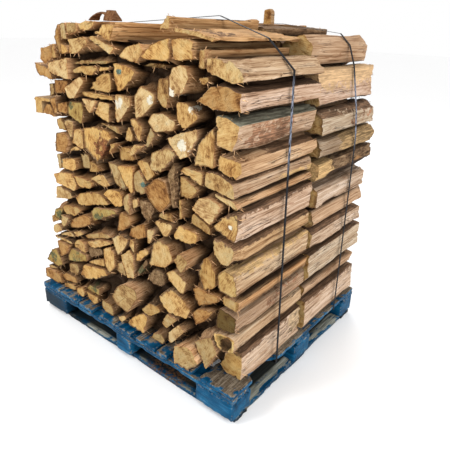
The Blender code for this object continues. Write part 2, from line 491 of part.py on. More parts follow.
# Far rank, right-hand side: outlines in centimetres at their own place, and end depth.
FAR_EDGE_LOGS = (
    (None, 46.0, (38, 122.6), (39.5, 131), (46, 133), (50.5, 129), (50, 122.2)),
    ("side_log_01", 48.0, (41, 108.6), (40.5, 119), (46, 121.6), (53.5, 121.6), (54.5, 109),
     (48, 107.6)),
    ("side_log_02", 47.0, (43, 98), (43.5, 106.5), (52, 107.8), (57, 105), (57.4, 97.8)),
    ("side_log_03", 49.0, (42, 89.6), (43, 97.4), (55, 97.2), (58.4, 94), (57.5, 89.4)),
    ("side_log_04", 49.0, (44, 80), (43, 88), (50, 89), (57.6, 88.6), (58.2, 83), (55, 79.8)),
    ("side_log_05", 44.0, (46, 69.8), (45, 77), (52, 79.4), (58.8, 78), (58.6, 70.2)),
    ("side_log_06", 46.0, (43, 52), (43.5, 59.8), (51, 61.6), (58.2, 59.6), (58.8, 53), (55, 51.6)),
    ("side_log_07", 48.5, (43, 37.6), (42.6, 48), (49, 51.2), (58.6, 50.8), (59.2, 40), (56, 36.6)),
    ("side_log_08", 47.0, (43.5, 14.5), (43, 27), (50, 29.4), (59, 29), (59.6, 16), (58, 14.5)),
    (None, 45.0, (46, 62.2), (46.5, 68.6), (57, 69.4), (58.8, 64), (57.5, 62.4)),
    (None, 46.0, (46, 30.2), (45.5, 35), (52, 36.2), (58.6, 35.6), (57, 30)),
)

# Outline of the far rank and of the two solid hearts, in centimetres.
FAR_OUTLINE = (
    (-59, 14.4), (51, 14.4), (52, 60), (50, 105), (46, 130), (34, 134.6), (14, 135.8), (-12, 134.8),
    (-30, 131), (-38, 121), (-44, 103), (-48.5, 85), (-52.5, 65), (-57, 35),
)
NEAR_HEART = (
    (-57, 15.2), (-57, 26), (-51, 31), (-46, 33), (-47, 40), (-49.6, 46), (-49, 50.5),
     (-46, 54), (-43.5, 58),
    (-42, 70), (-40.4, 74), (-40.4, 82), (-37, 86), (-35.5, 94), (-38.8, 99), (-40, 104), (-43.4, 106),
    (-43.4, 109.5), (-37, 112), (-36, 117), (-34, 122), (-29, 128), (-20, 130), (-12, 131.6), (0, 129),
    (12, 127), (25, 128), (36, 127), (40, 122), (48, 117), (50, 100), (53.5, 60), (53.5, 40), (50, 16),
)
FAR_HEART = (
    (-55, 15.2), (49, 15.2), (49, 100), (44, 118), (40, 127), (34, 131), (14, 132), (-10, 131.5),
    (-27, 129), (-35, 119), (-40, 101), (-44.5, 83), (-48.5, 63), (-53, 34),
)
CELL_X = 0.112
CELL_Z = 0.088
CELL_STRAY = 0.32
CELL_REACH = 0.40
CELL_AREA = 0.0012
CHOP = (0.004, 0.022)
WANDER = (-0.004, 0.006)


def far_cells(outline):
    """Uneven log sections filling an outline: each keeps what lies nearest its own middle."""
    xs = [p[0] for p in outline]
    zs = [p[1] for p in outline]
    seeds = []
    row = 0
    z = min(zs) + 0.5 * CELL_Z
    while z < max(zs) + 0.3 * CELL_Z:
        x = min(xs) + (0.5 if row % 2 else 0.0) * CELL_X
        while x < max(xs):
            stray_x = random.uniform(-CELL_STRAY, CELL_STRAY) * CELL_X
            stray_z = random.uniform(-CELL_STRAY, CELL_STRAY) * CELL_Z
            seeds.append((x + stray_x, z + stray_z))
            x += CELL_X
        z += CELL_Z
        row += 1
    cells = []
    for a in seeds:
        cell = list(outline_box(outline))
        for b in seeds:
            if b is a or math.dist(a, b) > CELL_REACH:
                continue
            n = (b[0] - a[0], b[1] - a[1])
            half = (b[0] ** 2 + b[1] ** 2 - a[0] ** 2 - a[1] ** 2) / 2
            cell = clip(cell, n, half)
            if len(cell) < 3:
                break
        if len(cell) > 2 and inside(a, outline):
            cells.append(cell)
    out = []
    for cell in cells:
        for n, limit in edge_normals(outline):
            cell = clip(cell, n, limit + random.uniform(*WANDER))
        chop = random.uniform(0.0, 2.0 * math.pi)
        n = (math.cos(chop), math.sin(chop))
        reach = max((n[0] * p[0] + n[1] * p[1] for p in cell), default=0.0)
        cell = clip(cell, n, reach - random.uniform(*CHOP))
        if len(cell) > 2 and area(cell) > CELL_AREA:
            out.append(cell)
    return out


def outline_box(outline):
    xs = [p[0] for p in outline]
    zs = [p[1] for p in outline]
    return (min(xs), min(zs)), (max(xs), min(zs)), (max(xs), max(zs)), (min(xs), max(zs))


def inside(p, outline):
    hit = False
    for a, b in zip(outline, outline[1:] + outline[:1]):
        if (a[1] > p[1]) != (b[1] > p[1]):
            if p[0] < a[0] + (p[1] - a[1]) * (b[0] - a[0]) / (b[1] - a[1]):
                hit = not hit
    return hit


def metres(poly):
    return [(x / 100, z / 100) for x, z in poly]


def above_floor(poly):
    return clip(poly, (0.0, -1.0), -LOG_FLOOR)


def rank(name, heart, heart_y, logs, apart):
    """Logs of one rank joined through its solid heart, with room cut for the separate ones."""
    bm = bmesh.new()
    face = bm.faces.new([bm.verts.new((x, heart_y[0], z)) for x, z in heart])
    grown = bmesh.ops.extrude_face_region(bm, geom=[face])
    far = [v for v in grown["geom"] if isinstance(v, bmesh.types.BMVert)]
    bmesh.ops.translate(bm, vec=(0, heart_y[1] - heart_y[0], 0), verts=far)
    target = add(name, bm, SPLIT)
    forms = tool_set(name + "_forms")
    for poly, y0, y1, cant0, cant1 in logs:
        add("log_form", prism(poly, y0, y1, cant0, cant1), SPLIT, forms)
    boolean(target, forms, "UNION")
    rooms = tool_set(name + "_rooms")
    for poly, y0, y1 in apart:
        add("room", prism(grow(poly, CARVE), y0, y1), SPLIT, rooms)
    boolean(target, rooms, "DIFFERENCE")
    return target


# Near rank
near_all = [(None, d, pts) for d, *pts in NEAR_LOGS] + [(n, d, pts) for n, d, *pts in EDGE_LOGS]
near_polys = part_all([above_floor(seen_at(pts, FACE_Y - d / 100)) for n, d, pts in near_all])
near_bodies = []
near_named = []
near_outlines = []
for (name, depth, _), poly in zip(near_all, near_polys):
    poly = shrink(poly, LOG_CLEAR) if len(poly) > 2 else []
    y0 = FACE_Y - depth / 100
    cant0 = cant()
    cant1 = cant()
    if len(poly) < 3 or area(poly) < SMALLEST:
        continue
    near_outlines.append(poly)
    if name is None:
        near_bodies.append((poly, y0, -LOG_INSET, cant0, (0.0, 0.0)))
    else:
        add(name, prism(poly, y0, -APART_INSET, cant0, cant1), SPLIT)
        near_named.append((poly, y0 - ROOM_OVER, ROOM_OVER))
rank("near_rank_logs", metres(NEAR_HEART), (CORE_FRONT, -HEART_INSET), near_bodies, near_named)

# Far rank
far_named = []
far_bodies = []
far_outlines = []
far_hand = [hull(metres(pts)) for name, end, *pts in FAR_EDGE_LOGS]
for cell in far_cells(hull(metres(FAR_OUTLINE))):
    for hand in far_hand:
        if len(cell) > 2:
            cell = part_pair(cell, hand, 1.0)[0]
    cell = above_floor(cell)
    cell = shrink(cell, LOG_CLEAR + random.uniform(0.0, 0.003)) if len(cell) > 2 else []
    if len(cell) > 2 and area(cell) > 3 * SMALLEST:
        far_outlines.append(cell)
        far_bodies.append((cell, LOG_INSET, random.uniform(*FAR_END), (0.0, 0.0), cant()))
for (name, end, *pts), poly in zip(FAR_EDGE_LOGS, far_hand):
    poly = shrink(above_floor(poly), LOG_CLEAR)
    far_outlines.append(poly)
    cant0 = cant()
    cant1 = cant()
    if name is None:
        far_bodies.append((poly, LOG_INSET, end / 100, (0.0, 0.0), cant1))
    else:
        add(name, prism(poly, APART_INSET, end / 100, cant0, cant1), SPLIT)
        far_named.append((poly, -ROOM_OVER, end / 100 + ROOM_OVER))
rank("far_rank_logs", metres(FAR_HEART), (HEART_INSET, CORE_REAR), far_bodies, far_named)


# Loose pieces on top of the stack
def top_at(polys, x0, x1):
    """Highest point of the outlines between two stations."""
    best = 0.0
    for poly in polys:
        poly = clip(clip(poly, (1.0, 0.0), x1), (-1.0, 0.0), -x0)
        best = max([best] + [z for _, z in poly])
    return best


def drawn(name, outline, y0, y1, mat):
    """A flat outline in the X-Z plane drawn along Y."""
    bm = bmesh.new()
    face = bm.faces.new([bm.verts.new((x, y0, z)) for x, z in outline])
    grown = bmesh.ops.extrude_face_region(bm, geom=[face])
    far = [v for v in grown["geom"] if isinstance(v, bmesh.types.BMVert)]
    bmesh.ops.translate(bm, vec=(0, y1 - y0, 0), verts=far)
    return add(name, bm, mat)


BARK_TOP = top_at(near_outlines, -0.125, 0.012) + FIT
BARK_SHAPE = (
    (-12.5, 0.0), (-11.2, 1.6), (-9.2, 2.6), (-6.8, 2.9), (-4.6, 2.5), (-4.5, 3.4),
     (-0.6, 3.4), (0.4, 0.6),
    (0.3, 0.0), (-4.4, 0.0), (-4.8, 1.8), (-6.8, 2.3), (-9.0, 2.0), (-10.7, 1.2), (-12.0, 0.0),
)
drawn("bark_chip", [(x / 100, BARK_TOP + z / 100) for x, z in BARK_SHAPE], *CHIP_Y, BARK)

HOOK_SHAPE = (
    (-54.0, 103.0), (-52.5, 104.1), (-42.0, 104.3), (-42.0, 103.1), (-48.2, 102.7), (-48.4, 97.6),
    (-53.6, 97.3), (-53.0, 102.4),
)
drawn("hooked_slab", [(x / 100, z / 100) for x, z in HOOK_SHAPE], *HOOK_Y, SPLIT)

STICK_X = 0.215
STICK_Y = (0.128, 0.152)
STICK_Z = top_at(far_outlines, STICK_X - 0.020, STICK_X + 0.020) + FIT
STICK_SHAPE = ((-1.9, 0.0), (-1.8, 5.2), (0.6, 5.8), (1.7, 4.8), (1.9, 0.0))
drawn("upright_stick", [(STICK_X + x / 100, STICK_Z + z / 100) for x, z in STICK_SHAPE],
      *STICK_Y, SPLIT)


# Straps: closed bands round the logs and under the deck boards
def strap(name, outlines, y):
    points = [p for poly in outlines for p in poly]
    base = DECK_LO - 2 * FIT
    edge = HALF_X + FIT
    path = hull(points + [(-edge, base), (edge, base), (-edge, DECK_TOP), (edge, DECK_TOP)])
    inner = tidy(grow(path, STRAP_OFF), STRAP_STEP)
    bm = bmesh.new()
    verts = [bm.verts.new((x, y - STRAP_W / 2, z)) for x, z in inner]
    edges = [bm.edges.new((a, b)) for a, b in zip(verts, verts[1:] + verts[:1])]
    grown = bmesh.ops.extrude_edge_only(bm, edges=edges)
    far = [v for v in grown["geom"] if isinstance(v, bmesh.types.BMVert)]
    bmesh.ops.translate(bm, vec=(0, STRAP_W, 0), verts=far)
    obj = add(name, bm, BANDING)
    shell = obj.modifiers.new("thickness", "SOLIDIFY")
    shell.thickness = STRAP_T
    shell.offset = 0.0
    shell.use_even_offset = True


strap("strap_near", near_outlines, STRAP_Y[0])
strap("strap_far", far_outlines, STRAP_Y[1])
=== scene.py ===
import math
import random
from functools import partial

import bmesh
import bpy
import numpy as np
from mathutils import Matrix, Vector


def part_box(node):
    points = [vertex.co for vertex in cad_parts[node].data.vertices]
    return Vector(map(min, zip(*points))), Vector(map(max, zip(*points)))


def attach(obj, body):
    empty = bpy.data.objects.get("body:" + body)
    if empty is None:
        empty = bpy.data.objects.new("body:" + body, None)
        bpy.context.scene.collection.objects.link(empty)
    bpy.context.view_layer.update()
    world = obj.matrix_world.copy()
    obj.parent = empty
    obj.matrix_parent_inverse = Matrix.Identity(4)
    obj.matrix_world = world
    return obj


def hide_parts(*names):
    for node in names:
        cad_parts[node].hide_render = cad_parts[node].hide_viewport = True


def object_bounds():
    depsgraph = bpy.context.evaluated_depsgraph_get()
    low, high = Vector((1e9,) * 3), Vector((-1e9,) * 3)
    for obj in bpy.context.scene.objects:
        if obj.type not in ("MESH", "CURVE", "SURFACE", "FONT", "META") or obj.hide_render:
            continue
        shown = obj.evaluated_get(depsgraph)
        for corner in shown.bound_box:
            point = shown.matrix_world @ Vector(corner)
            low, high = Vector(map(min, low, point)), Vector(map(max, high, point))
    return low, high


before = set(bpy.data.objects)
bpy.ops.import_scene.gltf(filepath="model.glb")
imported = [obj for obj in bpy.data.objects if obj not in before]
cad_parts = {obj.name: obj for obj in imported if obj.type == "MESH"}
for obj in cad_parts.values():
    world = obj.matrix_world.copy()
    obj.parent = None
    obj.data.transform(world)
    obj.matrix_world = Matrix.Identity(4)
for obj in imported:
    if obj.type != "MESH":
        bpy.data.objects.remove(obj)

solid_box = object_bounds()
random.seed(5)


# Sawn pallet timber
# Seventeen boards and nine blocks of softwood, nailed together and painted blue all over.
# Use has rubbed the paint off the deck and off every edge, down to grey wood.
class Wire:
    """An output in a material's nodes that takes part in Python arithmetic."""

    def __init__(self, tree, socket):
        self.tree = tree
        self.socket = socket

    def calc(self, operation, *values):
        """A Math node on the values, or on this output where none are given."""
        return node(self.tree, "ShaderNodeMath", {"operation": operation}, *(values or (self,)))

    def __add__(self, other):
        return self.calc("ADD", self, other)

    def __sub__(self, other):
        return self.calc("SUBTRACT", self, other)

    def __rsub__(self, other):
        return self.calc("SUBTRACT", other, self)

    def __mul__(self, other):
        return self.calc("MULTIPLY", self, other)

    __radd__ = __add__
    __rmul__ = __mul__

    def step(self, low, high):
        """0 below low, 1 above high, smooth between them."""
        settings = {"interpolation_type": "SMOOTHSTEP"}
        return node(self.tree, "ShaderNodeMapRange", settings, self, low, high, 0.0, 1.0)


def node(tree, kind, settings=None, *values, out=0, **named):
    """One node with its settings, then the values or links of its sockets."""
    made = tree.nodes.new(kind)
    for key, value in (settings or {}).items():
        if key == "stops":
            ramp = made.color_ramp.elements
            while len(ramp) < len(value):
                ramp.new(0.5)
            for stop, (place, colour) in zip(ramp, value):
                stop.position = place
                stop.color = (*colour, 1.0)
        else:
            setattr(made, key, value)
    for key, value in list(enumerate(values)) + list(named.items()):
        if isinstance(value, Wire):
            tree.links.new(value.socket, made.inputs[key])
        elif value is not None:
            made.inputs[key].default_value = value
    return Wire(tree, made.outputs[out])


def mixed(factor, a, b, mode="MIX"):
    """Two colours mixed: the Mix node's colours are its sockets 6 and 7, its result is output 2."""
    tree = next(w.tree for w in (factor, a, b) if isinstance(w, Wire))
    a, b = (c if isinstance(c, Wire) else (*c, 1.0) for c in (a, b))
    unused = [None] * 5
    settings = {"data_type": "RGBA", "blend_type": mode}
    return node(tree, "ShaderNodeMix", settings, factor, *unused, a, b, out=2)


def ramp(value, stops):
    """Colours by a number, from stops of a place and a colour."""
    return node(value.tree, "ShaderNodeValToRGB", {"stops": stops}, value)


def apart(vector):
    """The X, Y and Z of a vector."""
    first = node(vector.tree, "ShaderNodeSeparateXYZ", None, vector)
    return [Wire(vector.tree, output) for output in first.socket.node.outputs]


def stretched(vector, x, y, z):
    return node(vector.tree, "ShaderNodeVectorMath", {"operation": "MULTIPLY"}, vector, (x, y, z))


def cloudy(vector, scale, w=0.0, detail=3.0, rough=0.55, along=1.0):
    """Noise between about 0.3 and 0.7, a different one for each w, drawn out where along is small."""
    if along != 1.0:
        vector = stretched(vector, 1.0, along, 1.0)
    settings = {"noise_dimensions": "4D"}
    return node(vector.tree, "ShaderNodeTexNoise", settings, Vector=vector, W=w, Scale=scale,
                Detail=detail, Roughness=rough)


def flat_noise(x, y, scale, detail, rough):
    """Noise over a plane of any two numbers."""
    place = node(x.tree, "ShaderNodeCombineXYZ", None, x, y)
    settings = {"noise_dimensions": "2D"}
    return node(x.tree, "ShaderNodeTexNoise", settings, Vector=place, Scale=scale, Detail=detail, Roughness=rough)


def read(tree, name, out=2):
    """A value stored on the mesh: out 2 is a number, 1 a vector, 0 a colour."""
    return node(tree, "ShaderNodeAttribute", {"attribute_name": name}, out=out)


def finish(name):
    """A new material: its node tree and its surface shader."""
    mat = bpy.data.materials.new(name)
    mat.use_nodes = True
    return mat, mat.node_tree, mat.node_tree.nodes["Principled BSDF"]


def wire_up(tree, shader, **sockets):
    names = {"colour": "Base Color", "rough": "Roughness", "normal": "Normal"}
    for key, value in sockets.items():
        tree.links.new(value.socket, shader.inputs[names[key]])


def lattice_noise(points, seed):
    """Smooth noise from 0 to 1 in space, the same for the same seed."""
    cell = np.floor(points).astype(np.int64)
    part = points - cell
    part = part * part * (3.0 - 2.0 * part)
    total = np.zeros(len(points))
    for corner in range(8):
        bits = np.array([corner & 1, corner >> 1 & 1, corner >> 2 & 1])
        at = cell + bits
        mix = at[:, 0] * 73856093 ^ at[:, 1] * 19349663 ^ at[:, 2] * 83492791 ^ seed * 668265263
        mix = ((mix ^ (mix >> 13)) * 1274126177) & 0xFFFFFFFF
        weight = np.prod(np.where(bits == 1, part, 1.0 - part), axis=1)
        total += weight * (((mix ^ (mix >> 16)) & 0xFFFF) / 65535.0)
    return total


SHARP_ABOVE = math.radians(40.0)


def piece(name, verts, faces, mat, values, stands_for):
    """A mesh object that rides on the part, with the numbers its material reads."""
    mesh = bpy.data.meshes.new(name)
    mesh.from_pydata(verts, [], faces)
    for key, array in values.items():
        array = np.asarray(array, np.float32)
        kinds = {1: ("FLOAT", "value"), 3: ("FLOAT_VECTOR", "vector"), 4: ("FLOAT_COLOR", "color")}
        kind, field = kinds[1 if array.ndim == 1 else array.shape[1]]
        layer = mesh.attributes.new(key, kind, "POINT")
        layer.data.foreach_set(field, array.ravel())
    mesh.materials.append(mat)
    mesh.polygons.foreach_set("use_smooth", [True] * len(mesh.polygons))
    mesh.set_sharp_from_angle(angle=SHARP_ABOVE)
    obj = bpy.data.objects.new(name, mesh)
    bpy.context.scene.collection.objects.link(obj)
    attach(obj, "root")
    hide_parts(*stands_for)


def smooth(array, low, high):
    t = np.clip((array - low) / (high - low), 0.0, 1.0)
    return t * t * (3.0 - 2.0 * t)


def box_skin(stations):
    """Lattice points and quads over the six sides of a box, welded."""
    nx, ny, nz = (len(s) - 1 for s in stations)
    corners = []
    for axis, last in ((0, nx), (1, ny), (2, nz)):
        u, v = [a for a in (0, 1, 2) if a != axis]
        counts = (nx, ny, nz)
        iu, iv = np.meshgrid(np.arange(counts[u]), np.arange(counts[v]), indexing="ij")
        for level in (0, last):
            square = []
            for du, dv in ((0, 0), (1, 0), (1, 1), (0, 1)):
                at = np.zeros((iu.size, 3), int)
                at[:, axis] = level
                at[:, u] = iu.ravel() + du
                at[:, v] = iv.ravel() + dv
                square.append(at)
            outward = (level == last) == (axis != 1)
            corners.append(np.stack(square if outward else square[::-1], axis=1))
    corners = np.concatenate(corners)
    keys = (corners[..., 0] * (ny + 1) + corners[..., 1]) * (nz + 1) + corners[..., 2]
    unique, where = np.unique(keys, return_inverse=True)
    faces = where.reshape(keys.shape)
    ix, rest = np.divmod(unique, (ny + 1) * (nz + 1))
    iy, iz = np.divmod(rest, nz + 1)
    points = np.stack([stations[0][ix], stations[1][iy], stations[2][iz]], axis=1)
    return points, faces


def rows_across(lo, hi, step, edge):
    """Stations over a length, close together near both ends."""
    count = max(2, round((hi - lo - 2 * edge) / step) + 1)
    inner = np.linspace(lo + edge, hi - edge, count)
    return np.concatenate([[lo, lo + edge / 2], inner, [hi - edge / 2, hi]])


def paint():
    mat, tree, shader = finish("worn_blue_paint")
    grain = read(tree, "grain", 1)
    edge, worn, grey = (read(tree, key) for key in ("edge", "worn", "grey"))
    dirt, litter, seed = (read(tree, key) for key in ("dirt", "litter", "seed"))
    fibre = cloudy(grain, 230.0, seed, along=0.05)
    streak = cloudy(grain, 45.0, seed, along=0.09)
    patch = cloudy(grain, 16.0, seed)
    fleck = cloudy(grain, 130.0, seed, 4.0)
    wood = ramp(fibre * 0.40 + streak * 0.35 + fleck * 0.25, (
        (0.38, (0.030, 0.020, 0.013)), (0.48, (0.105, 0.080, 0.055)), (0.56, (0.210, 0.175, 0.130)),
        (0.66, (0.420, 0.370, 0.300)),
    ))
    weathered = ramp(fibre * 0.55 + streak * 0.45, (
        (0.38, (0.085, 0.085, 0.068)), (0.50, (0.240, 0.240, 0.195)), (0.64, (0.480, 0.480, 0.410)),
    ))
    wood = mixed(grey, wood, weathered)
    blue = ramp(streak * 0.5 + patch * 0.3 + fibre * 0.2, (
        (0.36, (0.001, 0.020, 0.046)), (0.50, (0.002, 0.062, 0.142)), (0.64, (0.006, 0.130, 0.270)),
    ))
    faded = ramp(fibre * 0.5 + fleck * 0.5, (
        (0.40, (0.010, 0.095, 0.200)), (0.60, (0.105, 0.235, 0.335)),
    ))
    _, _, high = apart(grain)
    waves = high * 950.0 + cloudy(stretched(grain, 0.5, 0.25, 1.0), 22.0, seed, 2.0) * 55.0
    figure = waves.calc("SINE").step(0.55, 1.0) * patch.step(0.46, 0.56)
    blue = mixed(figure * 0.45, blue, faded)
    rubbed_and_sheen = (patch * 0.40 + streak * 0.40 + fleck * 0.20 + edge * 0.09 + worn * 0.16).step(0.58, 0.67)
    bare = (patch * 0.46 + streak * 0.38 + fleck * 0.16 + edge * 0.09 + worn * 0.25).step(0.62, 0.68)
    colour = mixed(rubbed_and_sheen * 0.85, blue, faded)
    colour = mixed(bare, colour, wood)
    colour = mixed(edge.step(0.65, 1.0) * fleck.step(0.50, 0.60) * 0.45, colour, (0.330, 0.265, 0.180))
    # Painted shade with some grime: near black under and inside the pallet, low on the left and low on the right
    # side.
    shade_and_grime_amount = (dirt * 0.85 + (patch - 0.5) * 0.5).step(0.15, 0.80)
    colour = mixed(shade_and_grime_amount * 0.95, colour, (0.006, 0.008, 0.008))
    colour = mixed(litter * fleck.step(0.47, 0.55) * 0.9, colour, (0.095, 0.046, 0.020))
    height = fibre * 0.6 + streak * 0.9 + figure * 0.2 - bare * 0.35
    bump = node(tree, "ShaderNodeBump", None, Strength=0.8, Distance=0.0014, Height=height)
    shader.inputs["Specular IOR Level"].default_value = 0.08
    wire_up(tree, shader, colour=colour, rough=0.50 + bare * 0.30 + rubbed_and_sheen * 0.12, normal=bump)
    return mat


BLUE_PAINT = paint()
EDGE_STATIONS = 0.006
# Where the lowest corner log hangs over the outer deck board, which ends short of it.
SHORT_FROM = -0.372
SHORT_TO = -0.205
SHORT_BY = 0.034


def sawn(node_name, along, soft, step=0.014):
    """One board or block: worn round edges, raised grain, small chips, rubbed paint, and grime with painted
    shade.
    """
    lo, hi = (np.array(c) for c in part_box(node_name))
    soft = np.array(soft)
    seed = random.randrange(1000)
    steps = [step * 1.6 if axis == along else step for axis in range(3)]
    spots, faces = box_skin([rows_across(*ends, EDGE_STATIONS) for ends in zip(lo, hi, steps)])
    core = np.clip(spots, lo + soft, hi - soft)
    off = (spots - core) / soft
    length = np.maximum(np.linalg.norm(off, axis=1, keepdims=True), 1e-9)
    spots = np.where(length > 1.0, core + soft * off / length, spots)
    size = hi - lo
    near_side = np.minimum(spots - lo, hi - spots)
    order = np.sort(near_side, axis=1)
    edge = 1.0 - smooth(order[:, 1], 0.0, 0.016)
    run = [a for a in (0, 1, 2) if a != along]
    fibres = spots.copy()
    fibres[:, along] *= 0.06
    ridges = lattice_noise(fibres / 0.006 + 31.0, seed)
    chips = lattice_noise(spots / 0.020 + 17.0, seed + 1)
    middle = (lo + hi) / 2
    inward = np.sign(middle - spots) * (near_side <= order[:, :1] + 0.002)
    depth = 0.0008 * ridges + 0.0050 * edge * smooth(chips, 0.60, 0.85)
    spots = spots + inward * depth[:, None]
    on_top = smooth(spots[:, 2] - lo[2], size[2] * 0.90, size[2])
    worn = np.zeros(len(spots))
    grey = np.zeros(len(spots))
    if node_name.startswith("deck"):
        worn = on_top * (0.45 + 0.50 * smooth(spots[:, 1], -0.485, -0.43))
        if node_name in ("deck_board_8", "deck_board_9"):
            worn = on_top * (0.80 + 0.15 * smooth(spots[:, 0], 0.30, 0.50))
    elif node_name.startswith("stringer"):
        worn = on_top * 0.5
    elif node_name.startswith("base"):
        outer = smooth(np.maximum(np.abs(spots[:, 0]) - 0.1, np.abs(spots[:, 1])), 0.470, 0.497)
        worn = on_top * (0.95 - 0.55 * outer) * (0.62 if node_name == "base_board_near" else 1.0)
        grey = np.ones(len(spots))
        run_on = np.column_stack([spots[:, along] / 0.16, np.full((len(spots), 2), 4.4)])
        swing = lattice_noise(run_on + 11.0, seed + 3)
        axis = 1 - along
        rim = smooth(np.abs(spots[:, axis]), (0.560, 0.450)[axis], (0.597, 0.486)[axis])
        spots[:, axis] -= np.sign(spots[:, axis]) * rim * 0.014 * swing
    if node_name == "deck_board_9":
        short = smooth(spots[:, 1], SHORT_FROM - 0.006, SHORT_FROM)
        short = short * (1.0 - smooth(spots[:, 1], SHORT_TO - 0.04, SHORT_TO))
        spots[:, 0] -= short * smooth(spots[:, 0], 0.55, 0.598) * SHORT_BY
    grain = spots - lo
    grain[:, along] = spots[:, along]
    grain = grain[:, [run[0], along, run[1]]]
    # Painted shade, partly grime: darker low down on the left, under the boards, inside the pallet where the deck
    # shades it, and low on its right side.
    low_left = smooth(-spots[:, 0], 0.18, 0.50) * smooth(-spots[:, 2], -0.106, -0.090) * 0.75
    under_shade = smooth(-spots[:, 2], -0.026, -0.010) * 0.55
    inside_by = np.minimum(0.5 - np.abs(spots[:, 1]), 0.6 - np.abs(spots[:, 0]))
    inside_shade_and_grime = smooth(inside_by, 0.02, 0.12) * (1.0 - on_top * smooth(-inside_by, -0.13, -0.10) * 0.8)
    if node_name.startswith("base"):
        lit = 0.036 if node_name == "base_board_near" else 0.050
        inside_shade_and_grime = smooth(inside_by + 0.010 * swing, lit, lit + 0.012)
    right_side_shade = smooth(spots[:, 0], 0.592, 0.599) * 0.34 * smooth(-spots[:, 2], -0.10, -0.09)
    dirt = np.clip(low_left + under_shade + inside_shade_and_grime + right_side_shade, 0.0, 1.0)
    litter = smooth(spots[:, 0], 0.10, 0.17) * (1.0 - smooth(spots[:, 0], 0.30, 0.36))
    litter = litter * (node_name == "base_board_near")
    values = {"grain": grain, "edge": edge, "worn": worn, "grey": grey, "dirt": dirt, "litter": litter,
              "seed": np.full(len(spots), seed * 0.37)}
    piece("worn_" + node_name, spots.tolist(), faces.tolist(), BLUE_PAINT, values, (node_name,))


ALONG_Y = ("deck_board", "base_board_left", "base_board_middle", "base_board_right")
BOARD_ROUNDING = (0.004, 0.004, 0.003)
BLOCK_ROUNDING = (0.008, 0.008, 0.0025)
for board in sorted(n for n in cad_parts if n.startswith(("base_board", "stringer", "deck_board"))):
    sawn(board, 1 if board.startswith(ALONG_Y) else 0, BOARD_ROUNDING)
for block in sorted(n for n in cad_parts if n.startswith("block_")):
    sawn(block, 0, BLOCK_ROUNDING, 0.009)


